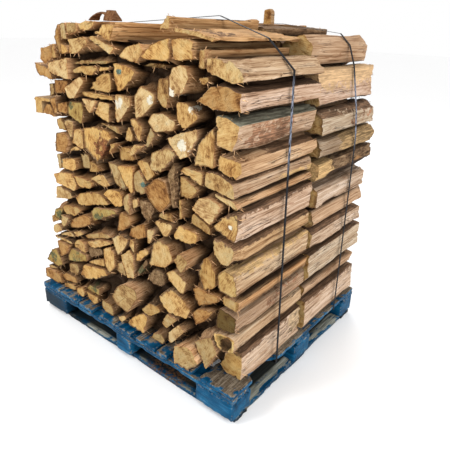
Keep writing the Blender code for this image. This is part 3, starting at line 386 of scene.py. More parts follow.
# Split logs
# Hardwood rounds sawn to about 46 cm and split lengthwise: torn fibrous faces along the log,
# a flat saw cut at each end, and bark left on the round side of some.
def log_wood():
    mat, tree, shader = finish("split_hardwood")
    grain = read(tree, "grain", 1)
    seed, end, bark, deep, rim = (read(tree, key) for key in ("seed", "end", "bark", "deep", "rim"))
    tint = read(tree, "tint", 0)
    stain = read(tree, "stain", 0)
    stained = read(tree, "stained")
    thread = cloudy(grain, 700.0, seed, 2.0, 0.6, along=0.012)
    fine = cloudy(grain, 260.0, seed, 3.0, 0.62, along=0.018)
    mid = cloudy(grain, 85.0, seed, 3.0, 0.6, along=0.035)
    broad = cloudy(grain, 19.0, seed, 2.0, along=0.20)
    mottle = cloudy(grain, 48.0, seed, 5.0, 0.62)
    speck = cloudy(grain, 330.0, seed, 3.0, 0.6)
    fleck = cloudy(grain, 70.0, seed + 3.0, 3.0, along=0.30)
    side = ramp(thread * 0.22 + fine * 0.34 + mid * 0.24 + broad * 0.20, (
        (0.400, (0.100, 0.052, 0.028)), (0.445, (0.245, 0.150, 0.086)), (0.490, (0.375, 0.255, 0.162)),
        (0.540, (0.470, 0.345, 0.240)), (0.610, (0.560, 0.445, 0.340)),
    ))
    side = mixed(fleck.step(0.60, 0.68) * 0.50, side, (0.200, 0.090, 0.040))
    crack = (1.0 - (mid - 0.5).calc("ABSOLUTE") * 45.0).step(0.0, 0.8) * broad.step(0.51, 0.57)
    side = mixed(crack * 0.80, side, (0.040, 0.019, 0.010))
    wide, _, high = apart(grain)
    radius = (wide * wide + high * high).calc("SQRT")
    warp = cloudy(grain, 26.0, seed, 2.0, along=0.3)
    rings = (radius * 1500.0 + warp * 16.0).calc("SINE")
    heading = seed * 1.7
    east = heading.calc("COSINE")
    north = heading.calc("SINE")
    across = wide * east + high * north
    saw = (across * 2300.0 + warp * 22.0).calc("SINE")
    drag = flat_noise(across + seed, (high * east - wide * north) * 0.14, 230.0, 3.0, 0.6)
    angle = wide.calc("ARCTAN2", high, wide)
    rays = flat_noise(angle * 9.0 + seed, radius * 5.0, 2.2, 4.0, 0.65)
    soft = cloudy(grain, 17.0, seed + 5.0, 2.0)
    blotch = mottle * 0.30 + speck * 0.14 + drag * 0.17 + rays * 0.06 + soft * 0.33
    cut = ramp(blotch + rings * 0.004 + saw * 0.006, (
        (0.400, (0.130, 0.058, 0.020)), (0.448, (0.310, 0.170, 0.064)), (0.495, (0.470, 0.305, 0.128)),
        (0.545, (0.530, 0.375, 0.178)), (0.620, (0.570, 0.435, 0.240)),
    ))
    check = (0.5 - (rays - 0.5).calc("ABSOLUTE") * 30.0).step(0.1, 0.5) * soft.step(0.50, 0.58)
    cut = mixed(check * 0.65, cut, (0.060, 0.028, 0.012))
    # The rim of each cut darkens: partly torn, dirty fibres and partly painted shade.
    frayed_shaded_rim = (rim + mottle * 1.8 - 0.9).step(0.35, 0.85)
    cut = mixed(frayed_shaded_rim * 0.78, cut, (0.120, 0.058, 0.026))
    ridge = cloudy(grain, 105.0, seed + 9.0, 4.0, 0.65, along=0.22)
    crust = ramp(mottle * 0.22 + fine * 0.16 + speck * 0.14 + ridge * 0.48, (
        (0.40, (0.016, 0.009, 0.005)), (0.47, (0.085, 0.047, 0.024)), (0.54, (0.200, 0.122, 0.064)),
        (0.63, (0.370, 0.265, 0.160)),
    ))
    wood = mixed(end, side, cut)
    wood = mixed(1.0, wood, tint, "MULTIPLY")
    colour = mixed(bark, wood, crust)
    soaked = (stained + (mottle - 0.5) * 2.2 + (broad - 0.5) * 1.2).step(0.38, 0.60) * stained.step(0.02, 0.22)
    plain = stain.step(0.30, 0.55)
    crumb = (ridge * 0.45 + fine * 0.55).step(0.42, 0.60) * 0.85 + 0.40
    crumb = crumb * (1.0 - plain) + plain
    colour = mixed(soaked * 0.94, colour, mixed(1.0, stain, crumb, "MULTIPLY"))
    # Painted shade: near black where a side lies between neighbouring logs, on a cut set back from those round
    # it, and in a hollow.
    colour = mixed(deep, colour, (0.016, 0.008, 0.004))
    height = (1.0 - end) * (thread * 0.3 + fine * 0.8 + mid * 1.1 - crack * 0.5)
    height = height + end * (mottle * 0.7 + drag * 0.6 + speck * 0.5 + saw * 0.05 - check * 0.6 - frayed_shaded_rim * 0.3)
    height = height * (1.0 - bark) + bark * (ridge * 1.8 + fine * 0.6)
    shader.inputs["Specular IOR Level"].default_value = 0.1
    bump = node(tree, "ShaderNodeBump", None, Strength=0.9, Distance=0.0024, Height=height)
    wire_up(tree, shader, colour=colour, rough=0.70 + mottle * 0.25, normal=bump)
    return mat


LOG_WOOD = log_wood()
PLAIN = {"end": 0.0, "bark": 0.0, "deep": 0.0, "seed": 0.0, "rim": 0.0, "stained": 0.0,
         "tint": (1.0, 1.0, 1.0, 1.0), "stain": (0.0, 0.0, 0.0, 1.0)}


def shading(grain, **given):
    """What the wood's material reads at each point: the given values, plain where there are none."""
    values = {"grain": grain}
    for key, plain in PLAIN.items():
        shape = (len(grain), 4) if key in ("tint", "stain") else (len(grain),)
        values[key] = np.broadcast_to(np.asarray(given.get(key, plain), float), shape)
    return values


def hull(points):
    """Convex outline, anticlockwise with X to the right and Z up."""
    points = sorted(set(points))
    loops = []
    for run in (points, points[::-1]):
        chain = []
        for p in run:
            while len(chain) > 1:
                o, a = chain[-2], chain[-1]
                if (a[0] - o[0]) * (p[1] - o[1]) - (a[1] - o[1]) * (p[0] - o[0]) > 1e-9:
                    break
                chain.pop()
            chain.append(p)
        loops += chain[:-1]
    return np.array(loops)


SQUARE_ON = 0.985
SMALLEST_CUT = 0.00015


def cuts(name, side, beyond=-1.0):
    """The saw cuts on one side of a solid: each one's outline, middle, place and slope."""
    bm = bmesh.new()
    bm.from_mesh(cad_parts[name].data)
    bmesh.ops.remove_doubles(bm, verts=bm.verts, dist=2e-5)
    bm.normal_update()
    ends = {f for f in bm.faces
            if f.normal.y * side > SQUARE_ON and f.calc_center_median().y * side > beyond}
    found = []
    while ends:
        todo = [ends.pop()]
        group = []
        while todo:
            face = todo.pop()
            group.append(face)
            for edge in face.edges:
                for other in edge.link_faces:
                    if other in ends:
                        ends.discard(other)
                        todo.append(other)
        big = max(group, key=lambda f: f.calc_area())
        if sum(f.calc_area() for f in group) > SMALLEST_CUT:
            outline = hull([(round(v.co.x, 5), round(v.co.z, 5)) for f in group for v in f.verts])
            middle = outline.mean(axis=0)
            at = big.verts[0].co
            slope = (-big.normal.x / big.normal.y, -big.normal.z / big.normal.y)
            y = at.y + slope[0] * (middle[0] - at.x) + slope[1] * (middle[1] - at.z)
            found.append((outline, middle, y, slope))
    bm.free()
    return sorted(found, key=lambda c: (round(c[1][1], 3), c[1][0]))


def around(outline, count):
    """Evenly spaced points round an outline, its corners a little rounded."""
    closed = np.vstack([outline, outline[:1]])
    steps = np.linalg.norm(np.diff(closed, axis=0), axis=1)
    run = np.concatenate([[0.0], np.cumsum(steps)])
    at = np.linspace(0.0, run[-1], count, endpoint=False)
    ring = np.stack([np.interp(at, run, closed[:, 0]), np.interp(at, run, closed[:, 1])], axis=1)
    return 0.15 * np.roll(ring, 1, axis=0) + 0.7 * ring + 0.15 * np.roll(ring, -1, axis=0)


CELL = 0.0015
LOG_GAP = 0.0012
FIELD_X = -0.63
FIELD_Z = 0.11
FIELD_CELLS = (840, 890)
SPREAD_STEPS = 17
STRAIGHT = ((1, 0), (-1, 0), (0, 1), (0, -1))
SLANTED = ((1, 1), (-1, 1), (1, -1), (-1, -1))


def shares(outlines, limit):
    """Which log each cell of a rank's end face belongs to: the one it lies in, or the nearest.

    A cell outside limit is -1, and one that no log reaches is 0.
    """
    gx, gz = np.meshgrid(FIELD_X + CELL * np.arange(FIELD_CELLS[0]),
                         FIELD_Z + CELL * np.arange(FIELD_CELLS[1]), indexing="ij")
    odd = np.zeros(gx.shape, bool)
    for a, b in zip(limit, np.roll(limit, -1, axis=0)):
        if a[1] != b[1]:
            odd ^= ((a[1] > gz) != (b[1] > gz)) & (gx < a[0] + (gz - a[1]) * (b[0] - a[0]) / (b[1] - a[1]))
    owner = np.where(odd, 0, -1).astype(np.int16)
    for number, outline in enumerate(outlines, 1):
        i0, k0 = ((outline.min(axis=0) - (FIELD_X, FIELD_Z)) / CELL).astype(int)
        i1, k1 = ((outline.max(axis=0) - (FIELD_X, FIELD_Z)) / CELL).astype(int) + 2
        part = (slice(max(i0, 0), i1), slice(max(k0, 0), k1))
        held = np.ones(gx[part].shape, bool)
        for a, b in zip(outline, np.roll(outline, -1, axis=0)):
            held &= (b[0] - a[0]) * (gz[part] - a[1]) - (b[1] - a[1]) * (gx[part] - a[0]) > 0
        owner[part][held] = number
    for turn in range(SPREAD_STEPS):
        before = owner.copy()
        for way in STRAIGHT if turn % 2 else STRAIGHT + SLANTED:
            moved = np.roll(before, way, axis=(0, 1))
            take = (owner == 0) & (moved > 0)
            owner[take] = moved[take]
    return owner


def room_beside(owner, number, ring, outward):
    """How far each point of an outline can move out before it leaves its own share.

    The second result says which points have no other log beyond them.
    """
    still = np.ones(len(ring), bool)
    room = np.zeros(len(ring))
    for step in range(1, SPREAD_STEPS + 1):
        at = ((ring + outward * CELL * step - (FIELD_X, FIELD_Z)) / CELL).round().astype(int)
        at = np.clip(at, 0, np.array(FIELD_CELLS) - 1)
        still &= owner[at[:, 0], at[:, 1]] == number
        room += CELL * still
    beyond = owner[at[:, 0], at[:, 1]]
    free = ((beyond <= 0) | (beyond == number)).astype(float)
    for _ in range(6):
        free = (np.roll(free, 1) + free + np.roll(free, -1)) / 3
    room = np.minimum(room, np.minimum(np.roll(room, 1), np.roll(room, -1)))
    room = (np.roll(room, 1) + room + np.roll(room, -1)) / 3
    return np.maximum(room - LOG_GAP, 0.0), free


# How fine a log's mesh is: points round it, stations behind its cut, rings on its two cuts.
OPEN_SPACING = 0.0051
CLOSED_SPACING = 0.0062
FEWEST_POINTS = 28
MOST_POINTS = 110
HEAD_STATIONS = (0.0, 0.0025, 0.006, 0.011, 0.018, 0.027, 0.039, 0.055, 0.08)
STATION_STEP = 0.021
CLOSED_STATIONS = 6
TAIL_STATIONS = (0.010, 0.003, 0.0)
SHOWN_RINGS = (0.96, 0.90, 0.81, 0.70, 0.56, 0.42, 0.28, 0.14)
HIDDEN_RINGS = (0.95, 0.7, 0.4)
# How deep its relief goes, and how its colours fade over the outer rings and beyond.
WAVE_DEPTH = 0.0045
STEP_DEPTH = 0.0026
THREAD_DEPTH = 0.0016
CRUST_DEPTH = 0.0032
CHIP_DEPTH = 0.0055
TEAR_DEPTH = 0.0050
SWELL_DEPTH = 0.0030
SAW_DEPTH = 0.0012
MOST_WIDENING = 0.010
RIM_FADE = (0.85, 0.45, 0.15)
BARK_FADE = (1.0, 0.6)
HOLLOW_SHADE = (0.0, 0.0, 0.0, 0.42, 0.30, 0.22, 0.18, 0.15)
BAND_FADE = 0.045
KNOT_WOOD = (0.520, 0.370, 0.220)


def stitched(rows, count, near_rings, far_rings):
    """Faces of a log: its sides, then the rings of its two cuts, each closed round a middle point."""
    i = np.arange(count)
    n = np.roll(i, -1)
    quads = []
    for row in range(rows - 1):
        a = row * count
        b = a + count
        quads.append(np.column_stack([a + i, b + i, b + n, a + n]))
    near = [0, *range(rows * count, (rows + near_rings) * count, count)]
    hub = (rows + near_rings + far_rings) * count
    far = [(rows - 1) * count, *range((rows + near_rings) * count, hub, count)]
    for a, b in zip(near, near[1:]):
        quads.append(np.column_stack([a + i, a + n, b + n, b + i]))
    for a, b in zip(far, far[1:]):
        quads.append(np.column_stack([a + n, a + i, b + i, b + n]))
    faces = np.vstack(quads).tolist()
    faces += np.column_stack([near[-1] + i, near[-1] + n, np.full(count, hub)]).tolist()
    faces += np.column_stack([far[-1] + n, far[-1] + i, np.full(count, hub + 1)]).tolist()
    return faces


def soiled(verts, inset, bearings, look, seed):
    """How far each point is stained, and the colours: stains on the cut, bands along it, knots.

    inset is the depth behind the cut; bearings are which way each point faces and where it lies.
    """
    total = len(verts)
    stained = np.zeros(total)
    stain = np.zeros((total, 4))
    stain[:, 3] = 1.0
    facing, lying = bearings

    def mark(hit, colours):
        """One more stain, where it is stronger than those before it."""
        better = hit > stained
        stained[better] = hit[better]
        stain[better, :3] = np.broadcast_to(colours, (total, 3))[better]

    for x, z, size, colour, strength in look["stains"]:
        hit = strength * (1.0 - smooth(np.hypot(verts[:, 0] - x, verts[:, 2] - z), size * 0.35, size))
        mark(hit * (1.0 - smooth(inset, 0.05, 0.12)), colour)
    for bearing, spread, from_y, to_y, colour, strength in look["bands"]:
        way = np.array([math.cos(math.radians(bearing)), math.sin(math.radians(bearing))])
        hit = strength * smooth(facing @ way + 0.9 * (lying @ way), 1.9 - spread * 1.4, 1.9 - spread * 0.7)
        hit = hit * smooth(verts[:, 1], from_y - BAND_FADE, from_y + BAND_FADE)
        mark(hit * (1.0 - smooth(verts[:, 1], to_y - BAND_FADE, to_y + BAND_FADE)), colour)
    for y, z, size in look["knots"]:
        off = np.hypot(verts[:, 1] - y, (verts[:, 2] - z) * 0.8) / size
        off = off + 0.9 * (lattice_noise(verts / 0.016 + 5.0, seed + 12) - 0.5)
        figure = 0.35 + 0.75 * smooth(np.cos(off * 7.0), -1.0, 0.6)
        mark(0.85 * (1.0 - smooth(off, 0.9, 1.7)) * (facing[:, 0] > 0.3), np.array(KNOT_WOOD) * figure[:, None])
    return stained, stain


def stations_along(length, look):
    """Where the rows of points stand along a log, closest behind the cut that shows."""
    if look["open"]:
        body = np.arange(0.092, length - 0.02, STATION_STEP * look["coarse"])
    else:
        body = np.linspace(0.12, length - 0.02, CLOSED_STATIONS)
    stations = np.concatenate([HEAD_STATIONS, body, length - np.array(TAIL_STATIONS)])
    return stations if look["face"] > 0 else (length - stations)[::-1]


def cut_rings(rim, middle, y, slope, inwards, look, seed):
    """Rings of a saw cut, from just inside its rim to near the middle, with its splits and hollow."""
    out = []
    for t in SHOWN_RINGS if look["face"] == inwards else HIDDEN_RINGS:
        xz = middle + (rim - middle) * t
        pts = np.column_stack([xz[:, 0], y + (xz - middle) @ np.array(slope), xz[:, 1]])
        swell = lattice_noise(pts / 0.026 + 13.0, seed + 7)
        saw = lattice_noise(pts / 0.0055 + 29.0, seed + 8)
        fall = SWELL_DEPTH * swell + SAW_DEPTH * saw + look["hollow"] * smooth(0.80 - t, 0.0, 0.12)
        for bearing, width, depth in look["splits"]:
            way = np.array([math.cos(bearing), math.sin(bearing)])
            rel = xz - middle
            off = np.abs(rel @ np.array([-way[1], way[0]])) + 0.002 * saw
            fall = fall + depth * np.exp(-(off / width) ** 2) * smooth(rel @ way, -0.004, 0.012)
        pts[:, 1] += inwards * fall
        out.append(pts)
    return out


def round_it(ring, size, level, shift, seed):
    """Noise round a log's outline, the same all along it."""
    return lattice_noise(np.column_stack([ring / size, np.full(len(ring), level)]) + shift, seed)


def side_relief(spots, ring, outward, behind, reach, bark_ring, look, seed):
    """How deep each point of a log's sides lies, and how much bark is on it.

    Split wood has long waves, steps and threads; bark has a crust instead. The edge of the cut
    is chipped. Ripples, shrinkage at the seams and pitted knots come on top, where look has them.
    """
    rows, count = spots.shape[:2]
    flat = spots.reshape(-1, 3)

    def field(across, along, extra):
        """Noise over the sides of the log."""
        return lattice_noise(flat / np.array([across, along, across]) + 57.0, seed + extra).reshape(rows, count)

    rough = look["rough"]
    waves = field(0.040, 0.160, 1)
    steps = smooth(field(0.014, 0.110, 2), 0.52, 0.66)
    thread = field(0.0045, 0.070, 3)
    crust = field(0.008, 0.022, 4)
    bark = np.broadcast_to(bark_ring, (rows, count)) * smooth(field(0.03, 0.09, 5), 0.16, 0.30)
    dent = (WAVE_DEPTH * waves + STEP_DEPTH * steps + THREAD_DEPTH * thread) * rough
    dent = dent * (0.35 + 0.65 * smooth(behind, 0.0, 0.05))[:, None]
    dent = dent * (1 - 0.7 * bark) + bark * (0.0006 + CRUST_DEPTH * crust)
    dent = np.minimum(dent, reach * 0.30)
    chipped = smooth(round_it(ring, 0.011, 7.7, 73.0, seed + 9), 0.56, 0.92)
    chips = CHIP_DEPTH * chipped * rough * min(1.0, reach / 0.03)
    dent = dent + chips[None, :] * (1.0 - smooth(behind, 0.0, 0.016))[:, None]
    if look["ripple"] > 0:
        ripples = np.sin((spots[..., 1] + 0.35 * spots[..., 2]) * 370.0 + 3.0 * waves)
        dent = dent + look["ripple"] * (1.0 + ripples)
    seam = 0.5 + 0.5 * np.abs(outward[:, 1])[None, :]
    dent = dent + look["seam"] * seam * smooth(field(0.05, 0.12, 11), 0.30, 0.75)
    for knot_y, knot_z, size in look["knots"]:
        off = np.hypot(spots[..., 1] - knot_y, spots[..., 2] - knot_z) / size
        swirl = 0.5 + 0.5 * np.cos(off * 8.0 + 7.0 * field(0.018, 0.030, 12))
        pit = (0.007 * swirl + 0.006 * smooth(off, 0.7, 1.3)) * (1.0 - smooth(off, 1.0, 2.2))
        dent = dent + pit * smooth(outward[:, 0], 0.3, 0.7)
    return dent, bark


def split_log(outline, near, far, look):
    """Points, quads and shading values of one log between two saw cuts.

    near and far are (y, slope in X, slope in Z); look says how it is coloured. A log whose long
    sides are open to view has finer points than one that shows only its end.
    """
    seed = random.randrange(100000)
    middle = outline.mean(axis=0)
    girth = np.linalg.norm(np.diff(np.vstack([outline, outline[:1]]), axis=0), axis=1).sum()
    spacing = (OPEN_SPACING if look["open"] else CLOSED_SPACING) * look["coarse"]
    count = int(np.clip(girth / spacing, FEWEST_POINTS, MOST_POINTS))
    ring = around(outline, count)
    tangent = np.roll(ring, -1, axis=0) - np.roll(ring, 1, axis=0)
    outward = np.stack([tangent[:, 1], -tangent[:, 0]], axis=1)
    outward /= np.maximum(np.linalg.norm(outward, axis=1, keepdims=True), 1e-9)
    reach = np.linalg.norm(ring - middle, axis=1).max()
    # The bark is on one side, and the tree's pith lay opposite it.
    turn = math.radians(look["bark_side"])
    bark_way = np.array([math.cos(turn), math.sin(turn)])
    pith = middle - bark_way * reach * 0.95
    bark_ring = smooth(outward @ bark_way, look["bark_from"], look["bark_from"] + 0.18) * look["barked"]

    # Rows of points from one cut to the other, each cut with its own slope.
    y0, y1 = near[0], far[0]
    length = y1 - y0
    stations = stations_along(length, look)
    behind = stations if look["face"] > 0 else length - stations
    rows = len(stations)
    share = stations / length
    spots = np.zeros((rows, count, 3))
    slope_y = ((ring - middle) @ np.array(near[1:3]))[None, :] * (1 - share)[:, None]
    slope_y = slope_y + ((ring - middle) @ np.array(far[1:3]))[None, :] * share[:, None]
    spots[..., 0] = ring[None, :, 0]
    spots[..., 2] = ring[None, :, 1]
    spots[..., 1] = y0 + stations[:, None] + slope_y

    # Where its neighbours leave room, the log widens behind its cut, and its underside may sag.
    ahead = (look["front"] - (y0 if look["face"] > 0 else y1)) * look["face"] if look["front"] else 0.0
    stands_out = max(0.0, ahead)
    set_back = max(0.0, -ahead)
    room, free = look["room"](ring, outward)
    uneven = smooth(round_it(ring, 0.020, 1.9, 19.0, seed + 10), 0.15, 0.75)
    widen = 0.30 * np.minimum(room, MOST_WIDENING)[None, :]
    out_by = smooth(behind - stands_out, 0.012, 0.050)[:, None] * (room * (0.75 + 0.25 * uneven))[None, :]
    sag = look["drop"] * smooth(-outward[:, 1], 0.2, 0.8)[None, :] * smooth(behind, 0.02, 0.09)[:, None]
    dent, bark = side_relief(spots, ring, outward, behind, reach, bark_ring, look, seed)
    dent = dent - np.maximum(widen, out_by) - sag
    spots[..., 0] -= outward[None, :, 0] * dent
    spots[..., 2] -= outward[None, :, 1] * dent
    torn = round_it(ring, 0.008, 3.3, 91.0, seed + 6)
    spots[0, :, 1] += 0.0004 + TEAR_DEPTH * smooth(torn, 0.50, 0.95) * (0.5 + look["rough"] * 0.5)
    spots[-1, :, 1] -= 0.0004 + TEAR_DEPTH * 0.8 * smooth(torn, 0.50, 0.95)

    near_cap = cut_rings(spots[0][:, [0, 2]], middle, y0, near[1:3], 1, look, seed)
    far_cap = cut_rings(spots[-1][:, [0, 2]], middle, y1, far[1:3], -1, look, seed)
    hubs = [near_cap[-1].mean(axis=0), far_cap[-1].mean(axis=0)]
    verts = np.vstack([spots.reshape(-1, 3), *near_cap, *far_cap, *hubs])
    faces = stitched(rows, count, len(near_cap), len(far_cap))

    # Which points are saw cut, bark or rim.
    total = len(verts)
    side = rows * count
    end = np.ones(total)
    end[:side] = 0.0
    end[:count] = 0.85
    end[side - count:side] = 0.85
    barked = np.zeros(total)
    barked[:side] = bark.ravel()
    rim = np.zeros(total)
    rim[:count] = 1.0
    rim[side - count:side] = 1.0
    for first in (side, side + len(near_cap) * count):
        for k, level in enumerate(RIM_FADE):
            rim[first + k * count:first + (k + 1) * count] = level
    rim *= look["rim"]
    for k, level in enumerate(BARK_FADE):
        barked[side + k * count:side + (k + 1) * count] = bark_ring * level
    barked = np.maximum(barked, look["all_bark"])

    # Painted shade: darker on a cut that is set back, on a side between neighbours, and in a hollow.
    inset = np.clip(verts[:, 1] - y0 if look["face"] > 0 else y1 - verts[:, 1], 0.0, None)
    deep = np.full(total, 0.35 * float(smooth(np.array(set_back), 0.008, 0.045)))
    hid = np.tile(smooth(1.0 - free, 0.1, 0.9) if look["open"] else np.ones(count), rows)
    hid = hid * (0.50 if look["seam"] > 0 else 1.0)
    gone = inset[:side] - stands_out
    shade = 0.28 * smooth(gone, -0.004, 0.010) + 0.68 * smooth(gone, 0.006, 0.050)
    deep[:side] = np.maximum(deep[:side], hid * shade)
    if look["hollow"] > 0:
        for k, level in enumerate(HOLLOW_SHADE):
            deep[side + k * count:side + (k + 1) * count] = level

    grain = verts - np.array([pith[0], 0.0, pith[1]])
    ways = np.zeros((total, 2))
    ways[:side] = np.tile(outward, (rows, 1))
    bearings = ways, (verts[:, [0, 2]] - middle) / reach
    stained, stain = soiled(verts, inset, bearings, look, seed)
    tint = np.tile(np.array([*look["tint"], 1.0]), (total, 1))
    tint[:side, :3] = look["side_tint"]
    return verts, faces, shading(grain, end=end, bark=barked, deep=deep, seed=seed % 997 * 0.61, rim=rim,
                                 stained=stained, tint=tint, stain=stain)


BARKED_SHARE = 0.38
SPLITS_IN_A_CUT = (0, 0, 1, 1, 2)
SPLIT_WIDTH = 0.0022


def look_of(face, is_open, **changes):
    """How one log looks: a random one of the ordinary kinds, with changes.

    face is 1 for a log whose near end shows and -1 for one whose far end does. front is where
    the ends round it stand; seam is how far it shrinks beside its neighbours, drop how far it
    sags, hollow how deep its cut is rotted out and coarse how much wider its points lie apart.
    """
    warm = random.uniform(0.0, 1.0)
    light = random.uniform(0.72, 1.10)
    dull = random.uniform(0.75, 1.35)
    look = {
        "bark_side": random.uniform(0.0, 360.0), "bark_from": 0.55,
        "barked": 1.0 if random.random() < BARKED_SHARE else 0.0, "all_bark": 0.0,
        "rough": random.uniform(0.8, 1.4), "face": face, "open": is_open, "stains": (), "bands": (),
        "rim": random.uniform(0.2, 1.0), "ripple": 0.0, "hollow": 0.0, "seam": 0.0,
        "front": None, "drop": 0.0, "knots": (), "coarse": 1.0,
        "splits": tuple((random.uniform(0, 6.28), SPLIT_WIDTH, random.uniform(0.003, 0.009))
                        for _ in range(random.choice(SPLITS_IN_A_CUT))),
        "tint": (light * (0.97 + 0.05 * warm), light * (1.0 - 0.07 * warm), light * (1.0 - 0.26 * warm)),
        "side_tint": (dull, dull * (0.84 - 0.08 * warm), dull * (0.66 - 0.18 * warm)),
    }
    look.update(changes)
    return look


class Heap:
    """Logs gathered into one mesh."""

    def __init__(self):
        self.verts = []
        self.faces = []
        self.values = {key: [] for key in ("grain", *PLAIN)}
        self.total = 0

    def put(self, verts, faces, values):
        self.verts.append(verts)
        self.faces += [[k + self.total for k in face] for face in faces]
        self.total += len(verts)
        for key, array in values.items():
            self.values[key].append(array)

    def fray(self, outline, y, way, count, size=1.0):
        """Torn splinters standing off the edges of a saw cut."""
        ring = around(outline, 40)
        middle = outline.mean(axis=0)
        for _ in range(count):
            at = ring[random.randrange(40)]
            out = (at - middle) / max(np.linalg.norm(at - middle), 1e-6)
            turn = random.uniform(-1.2, 1.2)
            lie = np.array([out[0] + turn * out[1], way * random.uniform(-0.3, 0.8), out[1] - turn * out[0]])
            lie[2] = -abs(lie[2]) if lie[2] > 0.35 else lie[2]
            lie /= np.linalg.norm(lie)
            root = np.array([at[0], y + way * random.uniform(0.002, 0.022), at[1]]) - lie * 0.006
            long = random.uniform(0.010, 0.036) * size
            thick = random.uniform(0.0010, 0.0030) * size
            side = np.cross(lie, [0.3, 0.9, 0.2])
            side /= np.linalg.norm(side)
            rise = np.cross(lie, side)
            waist = [root + lie * long * 0.4 + thick * (side * math.cos(a) + rise * math.sin(a) * 0.5)
                     for a in (0.0, 2.1, 4.2)]
            verts = np.array([root, *waist, root + lie * long])
            pale = random.uniform(0.9, 2.1)
            faces = [[0, 2, 1], [0, 3, 2], [0, 1, 3], [4, 1, 2], [4, 2, 3], [4, 3, 1]]
            seed = random.uniform(0.0, 500.0)
            self.put(verts, faces, shading(verts, seed=seed, tint=(pale, pale * 0.86, pale * 0.66, 1.0)))

    def make(self, name, stands_for):
        values = {key: np.concatenate(arrays) for key, arrays in self.values.items()}
        verts = np.clip(np.vstack(self.verts), *np.array(solid_box))
        piece(name, verts.tolist(), self.faces, LOG_WOOD, values, stands_for)


def inside(p, outline):
    a = outline
    b = np.roll(outline, -1, axis=0)
    turns = (b[:, 0] - a[:, 0]) * (p[1] - a[:, 1]) - (b[:, 1] - a[:, 1]) * (p[0] - a[:, 0])
    return bool(np.all(turns > 0))


# What marks single logs of the near face, by a point on each in centimetres.
PLACES = {
    "barky": ((28, 85), (14.5, 71), (-48, 50), (-19, 43), (18.5, 45.5), (10.5, 47), (-8, 124.5),
              (-20, 120.3)),
    "pale": ((-32, 117), (-22, 111), (32, 99), (32, 118), (5, 107), (17, 111), (-11, 106), (-12, 57),
             (14, 20), (20, 103), (40, 80), (30, 26), (31.5, 68)),
    "golden": ((-4, 71), (-18, 33), (11, 52), (44, 57), (-27, 124), (2, 119), (5, 82), (-14, 92),
               (24, 79), (34, 67), (-10, 57), (22, 96), (8, 20)),
    "brown": ((-33, 102), (-37, 79), (-31, 110), (-34, 89), (-43, 45), (-42, 37), (-33, 52), (-42, 20),
              (-52, 28), (-1, 60), (9, 61), (-5, 81), (20, 84), (41, 46), (41, 38), (-53, 18),
              (-32, 127), (-38.5, 102), (-34, 95.5)),
    "mossy": ((-44, 54), (-33, 36), (-23, 23), (-10, 62), (-50, 29), (-24, 103)),
}
CHANGES = {
    "barky": {"all_bark": 0.85, "barked": 1.0, "bark_from": -0.2},
    "pale": {"tint": (1.06, 1.10, 1.16), "barked": 0.0},
    "golden": {"tint": (1.06, 0.96, 0.74), "rough": 1.5},
    "brown": {"tint": (0.74, 0.60, 0.46), "rim": 1.0},
    "mossy": {"tint": (0.70, 0.72, 0.52), "rim": 0.9},
}
WHITE = (0.660, 0.620, 0.500)
TEAL = (0.110, 0.200, 0.170)
MOSS = (0.120, 0.120, 0.055)
RUST = (0.200, 0.070, 0.028)
ROT = (0.085, 0.042, 0.020)
# Stained places of the near face: X, Z and size in centimetres, colour and strength.
STAINS = (
    (33.5, 99, 4.2, WHITE, 0.50), (2.8, 108.5, 3.2, WHITE, 0.85), (29.5, 114.5, 2.6, WHITE, 0.7),
    (18.5, 111.5, 2.6, WHITE, 0.7), (37, 110.5, 2.0, WHITE, 0.7), (53.5, 77, 1.1, WHITE, 0.75),
    (4, 118.5, 2.2, TEAL, 0.7), (14, 81.3, 1.8, TEAL, 0.7), (-36, 80, 1.6, TEAL, 0.7),
    (-44, 54, 5.0, MOSS, 0.55), (-33, 35, 6.0, MOSS, 0.5), (-14, 61, 5.0, MOSS, 0.5),
    (-23, 23, 4.0, MOSS, 0.5), (52.8, 31.2, 3.4, ROT, 0.95), (-52, 30, 5.0, MOSS, 0.5),
    (10, 46, 4.0, MOSS, 0.6), (-9, 91, 7.0, RUST, 0.60), (-26, 104, 2.6, MOSS, 0.7),
)
LARGEST_LOG_CM = 9
TOP_LOGS_FROM_CM = 120
SUNLIT_TOP = (1.42, 1.17, 0.82)


def stains_on(middle):
    """The stains that reach the end of the log with this middle, in metres."""
    near = [s for s in STAINS if math.dist(s[:2], middle * 100) < s[2] + LARGEST_LOG_CM]
    return tuple((x / 100, z / 100, size / 100, colour, amount) for x, z, size, colour, amount in near)


def near_look(outline, is_open, room):
    """The look of a log of the near rank, from where its end shows."""
    middle = outline.mean(axis=0)
    changes = {}
    for kind, spots in PLACES.items():
        if any(inside((x / 100, z / 100), outline) for x, z in spots):
            changes = CHANGES[kind]
    if middle[1] * 100 > TOP_LOGS_FROM_CM:
        changes = {"side_tint": SUNLIT_TOP, **changes}
    return look_of(1, is_open, stains=stains_on(middle), room=room, **changes)


HAND = 0.085
LOWEST_SIDE = 0.165


def on_outside(middle, heart):
    """True for a log within a hand's width of the sides or the top of its rank's heart."""
    a = heart
    b = np.roll(heart, -1, axis=0)
    part = np.clip(((middle - a) * (b - a)).sum(axis=1) / ((b - a) ** 2).sum(axis=1), 0.0, 1.0)
    gap = np.linalg.norm(a + part[:, None] * (b - a) - middle, axis=1)
    return gap[np.maximum(a[:, 1], b[:, 1]) > LOWEST_SIDE].min() < HAND


def metres(points):
    return np.array(points) / 100


